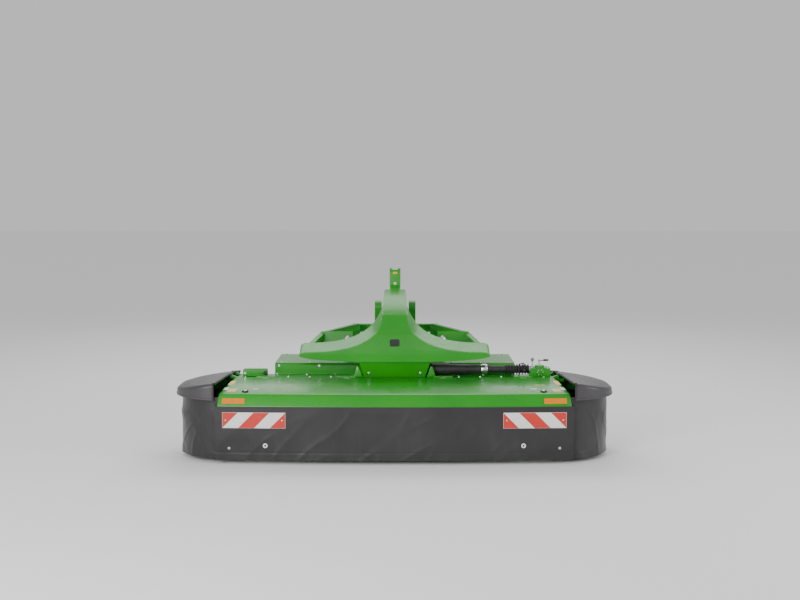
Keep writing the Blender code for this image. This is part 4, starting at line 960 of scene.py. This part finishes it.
def makeDisc(k):
    x, node = (k - 3.5) * disc["pitch"], "disc_" + str(k + 1)
    turn = 0.0 if k % 2 == 0 else pi / 2
    centre = Vector((x, disc["y"], 0))
    swing = Matrix.Translation(centre) @ Matrix.Rotation(turn, 4, "Z")
    work = bmesh.new()
    rings = []
    for share, z in ((0.30, 0.0), (0.985, 0.0), (1.0, 0.003), (1.0, 0.007), (0.985, 0.010), (0.93, 0.0105),
                     (0.90, 0.0135), (0.86, 0.0140), (0.70, 0.0160)):
        rings.append([swing @ Vector((disc["long"] * share * cos(a * pi / 32),
                                      disc["short"] * share * sin(a * pi / 32),
                                      disc["low"] + z)) for a in range(64)])
    loft(work, rings, closed=True)
    bmesh.ops.recalc_face_normals(work, faces=work.faces)
    base = disc["low"] + disc["thick"] / 2
    if k in (0, 7):
        top = disc["drumTop"] - base
        profile = [(0.0, -0.005), (0.135, -0.005), (0.135, 0.022), (0.132, 0.034), (0.122, 0.056),
                   (0.110, 0.080), (0.106, 0.095), (0.105, 0.115), (0.105, 0.285), (0.109, 0.288),
                   (0.109, 0.296), (0.105, 0.300), (0.105, top - 0.004), (0.101, top), (0.0, top)]
    else:
        profile = [(0.0, -0.005), (0.134, -0.005), (0.128, 0.008), (0.118, 0.016), (0.104, 0.024),
                   (0.090, 0.033), (0.074, 0.040), (0.060, 0.044), (0.050, 0.0465), (0.048, 0.0505),
                   (0.030, 0.051), (0.0, 0.051)]
    turnedIn(work, profile, (x, disc["y"], base), (x, disc["y"], base + 1), 48)
    for side in (-1, 1):
        hole = swing @ Vector((side * 0.160, 0, disc["low"] + disc["thick"]))
        addPart(work, lambda part: hexBolt(part, hole, (0, 0, 1), 0.012))
    piece("cuttingDisc" + str(k + 1), work, "darkSteel", bodyOf[node], slotOf[node], node, smooth=40)
    knives = bmesh.new()
    for side in (-1, 1):
        half, tip, root = disc["knifeWide"] / 2, disc["knifeTip"], 0.140
        plan = [(root, -half * 0.7), (root + 0.02, -half), (tip - 0.004, -half), (tip, -half + 0.010),
                (tip - 0.010, half), (root + 0.02, half), (root, half * 0.7)]
        z = disc["low"] - disc["knifeThick"] + 0.001

        def knife(part):
            extruded(part, [swing @ Vector((side * a, side * b, z)) for a, b in plan],
                     (0, 0, disc["knifeThick"]))
            roundEdges(part, 0.0010, 40, 1)
        addPart(knives, knife)
        place = swing @ Vector((side * 0.160, 0, z))
        turnedIn(knives, [(0, -0.004), (0.010, -0.004), (0.013, 0.0), (0.013, 0.002)], place,
                 place + Vector((0, 0, 1)), 18)
    piece("knives" + str(k + 1), knives, "steel", bodyOf[node], "bare_steel", smooth=30)


for k in range(8):
    makeDisc(k)
print("discs made")


# cross shaft, bellows and gearbox dressing

shaft = {"y": -0.345, "z": 0.757, "from": 0.3453, "bellowsFrom": 1.0344, "bellowsTo": 1.2697, "ribs": 9}


def onShaft(work, profile, x, segments=36):
    turnedIn(work, profile, (x, shaft["y"], shaft["z"]), (x + 1, shaft["y"], shaft["z"]), segments)


def makeShaft():
    reach = shaft["bellowsFrom"] - shaft["from"] - 0.0006
    work = bmesh.new()
    onShaft(work, [(0, 0), (0.050, 0), (0.054, 0.004), (0.054, 0.015), (0.0535, 0.155), (0.050, 0.180),
                   (0.0455, 0.290), (0.0430, 0.310), (0.0430, 0.455), (0.0425, 0.460), (0.0425, 0.535),
                   (0.036, 0.550), (0.034, 0.556), (0.034, reach - 0.02), (0.0345, reach - 0.012),
                   (0.034, reach), (0, reach)], shaft["from"])
    piece("shaftCone", work, "rubber", "machine_frame", slotOf["cross_shaft_guard"], "cross_shaft_guard",
          smooth=30)
    bellows = bmesh.new()
    length = shaft["bellowsTo"] - shaft["bellowsFrom"]
    pitch = length / shaft["ribs"]
    rib = ((0.036, 0.10), (0.043, 0.32), (0.0487, 0.44), (0.0498, 0.5), (0.0487, 0.56), (0.043, 0.68),
           (0.036, 0.90))
    profile = [(0, 0), (0.035, 0)]
    for k in range(shaft["ribs"]):
        profile += [(radius, k * pitch + pitch * share) for radius, share in rib]
    profile += [(0.035, length), (0, length)]
    onShaft(bellows, profile, shaft["bellowsFrom"])
    piece("shaftBellows", bellows, "rubber", "machine_frame", slotOf["cross_shaft_bellows"],
          "cross_shaft_bellows",
          smooth=60)


def makeBoxDressing():
    # cover plates, plugs and a breather on the gearboxes, and the knife box's latch
    green, metal, dark = bmesh.new(), bmesh.new(), bmesh.new()
    for node, start in (("side_gearbox", (1.30, -0.345, 1.5)), ("central_gearbox", (0.0, -0.10, 1.5))):
        place, normal = onTo(node, start, (0, 0, -1))
        turnedIn(metal, [(0, 0.020), (0.005, 0.019), (0.007, 0.014), (0.0065, 0.007), (0.011, 0.006),
                         (0.011, -0.001)],
                 place, place + normal, 20)
    place, normal = onTo("side_gearbox", (1.365, -1.0, 0.735), (0, 1, 0))
    turnedIn(green, [(0, 0.010), (0.022, 0.010), (0.030, 0.008), (0.034, 0.004), (0.034, -0.001)], place,
             place + normal, 32)
    for k in range(6):
        spot = place + Vector((0.027 * cos(k * pi / 3), 0, 0.027 * sin(k * pi / 3))) + normal * 0.007
        addPart(metal, lambda part: hexBolt(part, spot, normal, 0.0035))
    place, normal = onTo("knife_box", (-1.245, -1.0, 0.722), (0, 1, 0))
    place = place + Vector((0.028, 0, 0))
    turnedIn(dark, [(0, 0.016), (0.012, 0.016), (0.016, 0.012), (0.020, 0.003), (0.020, -0.001)],
             place, place + normal, 24)
    top, normal = onTo("knife_box", (-1.315, -0.33, 1.5), (0, 0, -1))
    addPart(green, lambda part: boxIn(part, top - Vector((0.105, 0.030, 0.001)),
                                      top + Vector((0.105, 0.030, 0.004))))
    bar = [((-0.040, 0.003), (-0.040, 0.022), 0.003), ((0.040, 0.003), (0.040, 0.022), 0.003),
           ((-0.042, 0.021), (0.042, 0.021), 0.0035)]
    for start, end, radius in bar:
        ends = [top + Vector((x, -0.022, z)) for x, z in (start, end)]
        rodIn(metal, ends[0], ends[1], radius, segments=12)
    piece("boxCovers", green, "green", "machine_frame", "green_paint")
    piece("boxFittings", metal, "zinc", "machine_frame", "zinc_plate")
    piece("boxLatch", dark, "rubber", "machine_frame", "black_rubber")


makeShaft()
makeBoxDressing()
print("shaft and boxes dressed")


# parts carried over with their edges rounded

edgeWidth = {"headstock_mast": 0.006, "hitch_frame": 0.004, "headstock_arm_left": 0.006,
             "headstock_arm_right": 0.006, "pivot_block": 0.008, "central_gearbox": 0.010,
             "side_gearbox": 0.006, "knife_box": 0.008, "cutterbar": 0.003, "conditioner_housing": 0.002,
             "deck_frame": 0.0015, "conditioner_rotor": 0.0012, "default": 0.0018}


def refined(node):
    work = bmesh.new()
    work.from_mesh(frame["nodes"][node].data)
    bmesh.ops.remove_doubles(work, verts=work.verts, dist=0.00002)
    bmesh.ops.dissolve_limit(work, angle_limit=radians(1.0), verts=work.verts, edges=work.edges)
    roundEdges(work, edgeWidth.get(node, edgeWidth["default"]))
    if bodyOf[node] == "front_guard":
        bowed(work)
    slot = slotOf[node]
    return piece(node + "_finished", work, lookOf[slot], bodyOf[node], slot, node, smooth=40, weighted=True)


# stage

view = {"distance": 11.2, "height": 2.43, "tilt": 5.36, "lens": 52.3, "across": 0.05}


def makeStage():
    work = bmesh.new()
    bmesh.ops.create_grid(work, x_segments=1, y_segments=1, size=60.0)
    mesh = bpy.data.meshes.new("floor")
    work.to_mesh(mesh)
    work.free()
    floor = bpy.data.objects.new("floor", mesh)
    bpy.context.collection.objects.link(floor)
    finish = Finish("paleFloor", 0.9)
    finish.shader.inputs["Base Color"].default_value = (0.92, 0.92, 0.92, 1.0)
    mesh.materials.append(finish.material)
    world = bpy.data.worlds.new("studio")
    world.use_nodes = True
    world.node_tree.nodes["Background"].inputs["Color"].default_value = (1.0, 1.0, 1.0, 1.0)
    world.node_tree.nodes["Background"].inputs["Strength"].default_value = 0.66
    bpy.context.scene.world = world


def areaLight(name, place, aim, size, power):
    data = bpy.data.lights.new(name, "AREA")
    data.shape = "RECTANGLE"
    data.size, data.size_y = size
    data.energy = power
    lamp = bpy.data.objects.new(name, data)
    turn = (Vector(aim) - Vector(place)).to_track_quat("-Z", "Y")
    lamp.matrix_world = Matrix.Translation(place) @ turn.to_matrix().to_4x4()
    bpy.context.collection.objects.link(lamp)


def makeLights():
    areaLight("overhead", (0, 4.0, 6.2), (0, 0, 0.7), (7.0, 3.0), 200)
    areaLight("front", (-4.5, -9.0, 3.6), (0, 0, 0.6), (5.0, 3.5), 640)
    areaLight("side", (7.0, -4.0, 3.0), (0, 0, 0.5), (3.0, 3.0), 170)
    for x in (-3.0, 3.0):
        areaLight("rear" + str(int(x)), (x, 9.0, 4.8), (0, 0, 0.8), (2.6, 2.2), 34)


def makeCamera():
    data = bpy.data.cameras.new("camera")
    data.lens = view["lens"]
    camera = bpy.data.objects.new("camera", data)
    camera.location = (view["across"], -view["distance"], view["height"])
    camera.rotation_euler = (radians(90 - view["tilt"]), 0, 0)
    bpy.context.collection.objects.link(camera)
    bpy.context.scene.camera = camera


makeStage()
makeLights()
makeCamera()
print("stage ready")

rebuilt = {"front_guard_panel", "front_curtain", "cross_shaft_guard", "cross_shaft_bellows",
           "headstock_cover",
           "pivot_block"} | {"disc_" + str(k + 1) for k in range(8)}
for stem in ("side_cover_", "side_curtain_", "float_spring_", "warning_plate_", "latch_"):
    rebuilt |= {stem + side for side, sign in sideSigns}
for node in frame["nodes"]:
    if node not in rebuilt and not frame["nodes"][node].hide_render:
        refined(node)
print("carried-over parts finished")
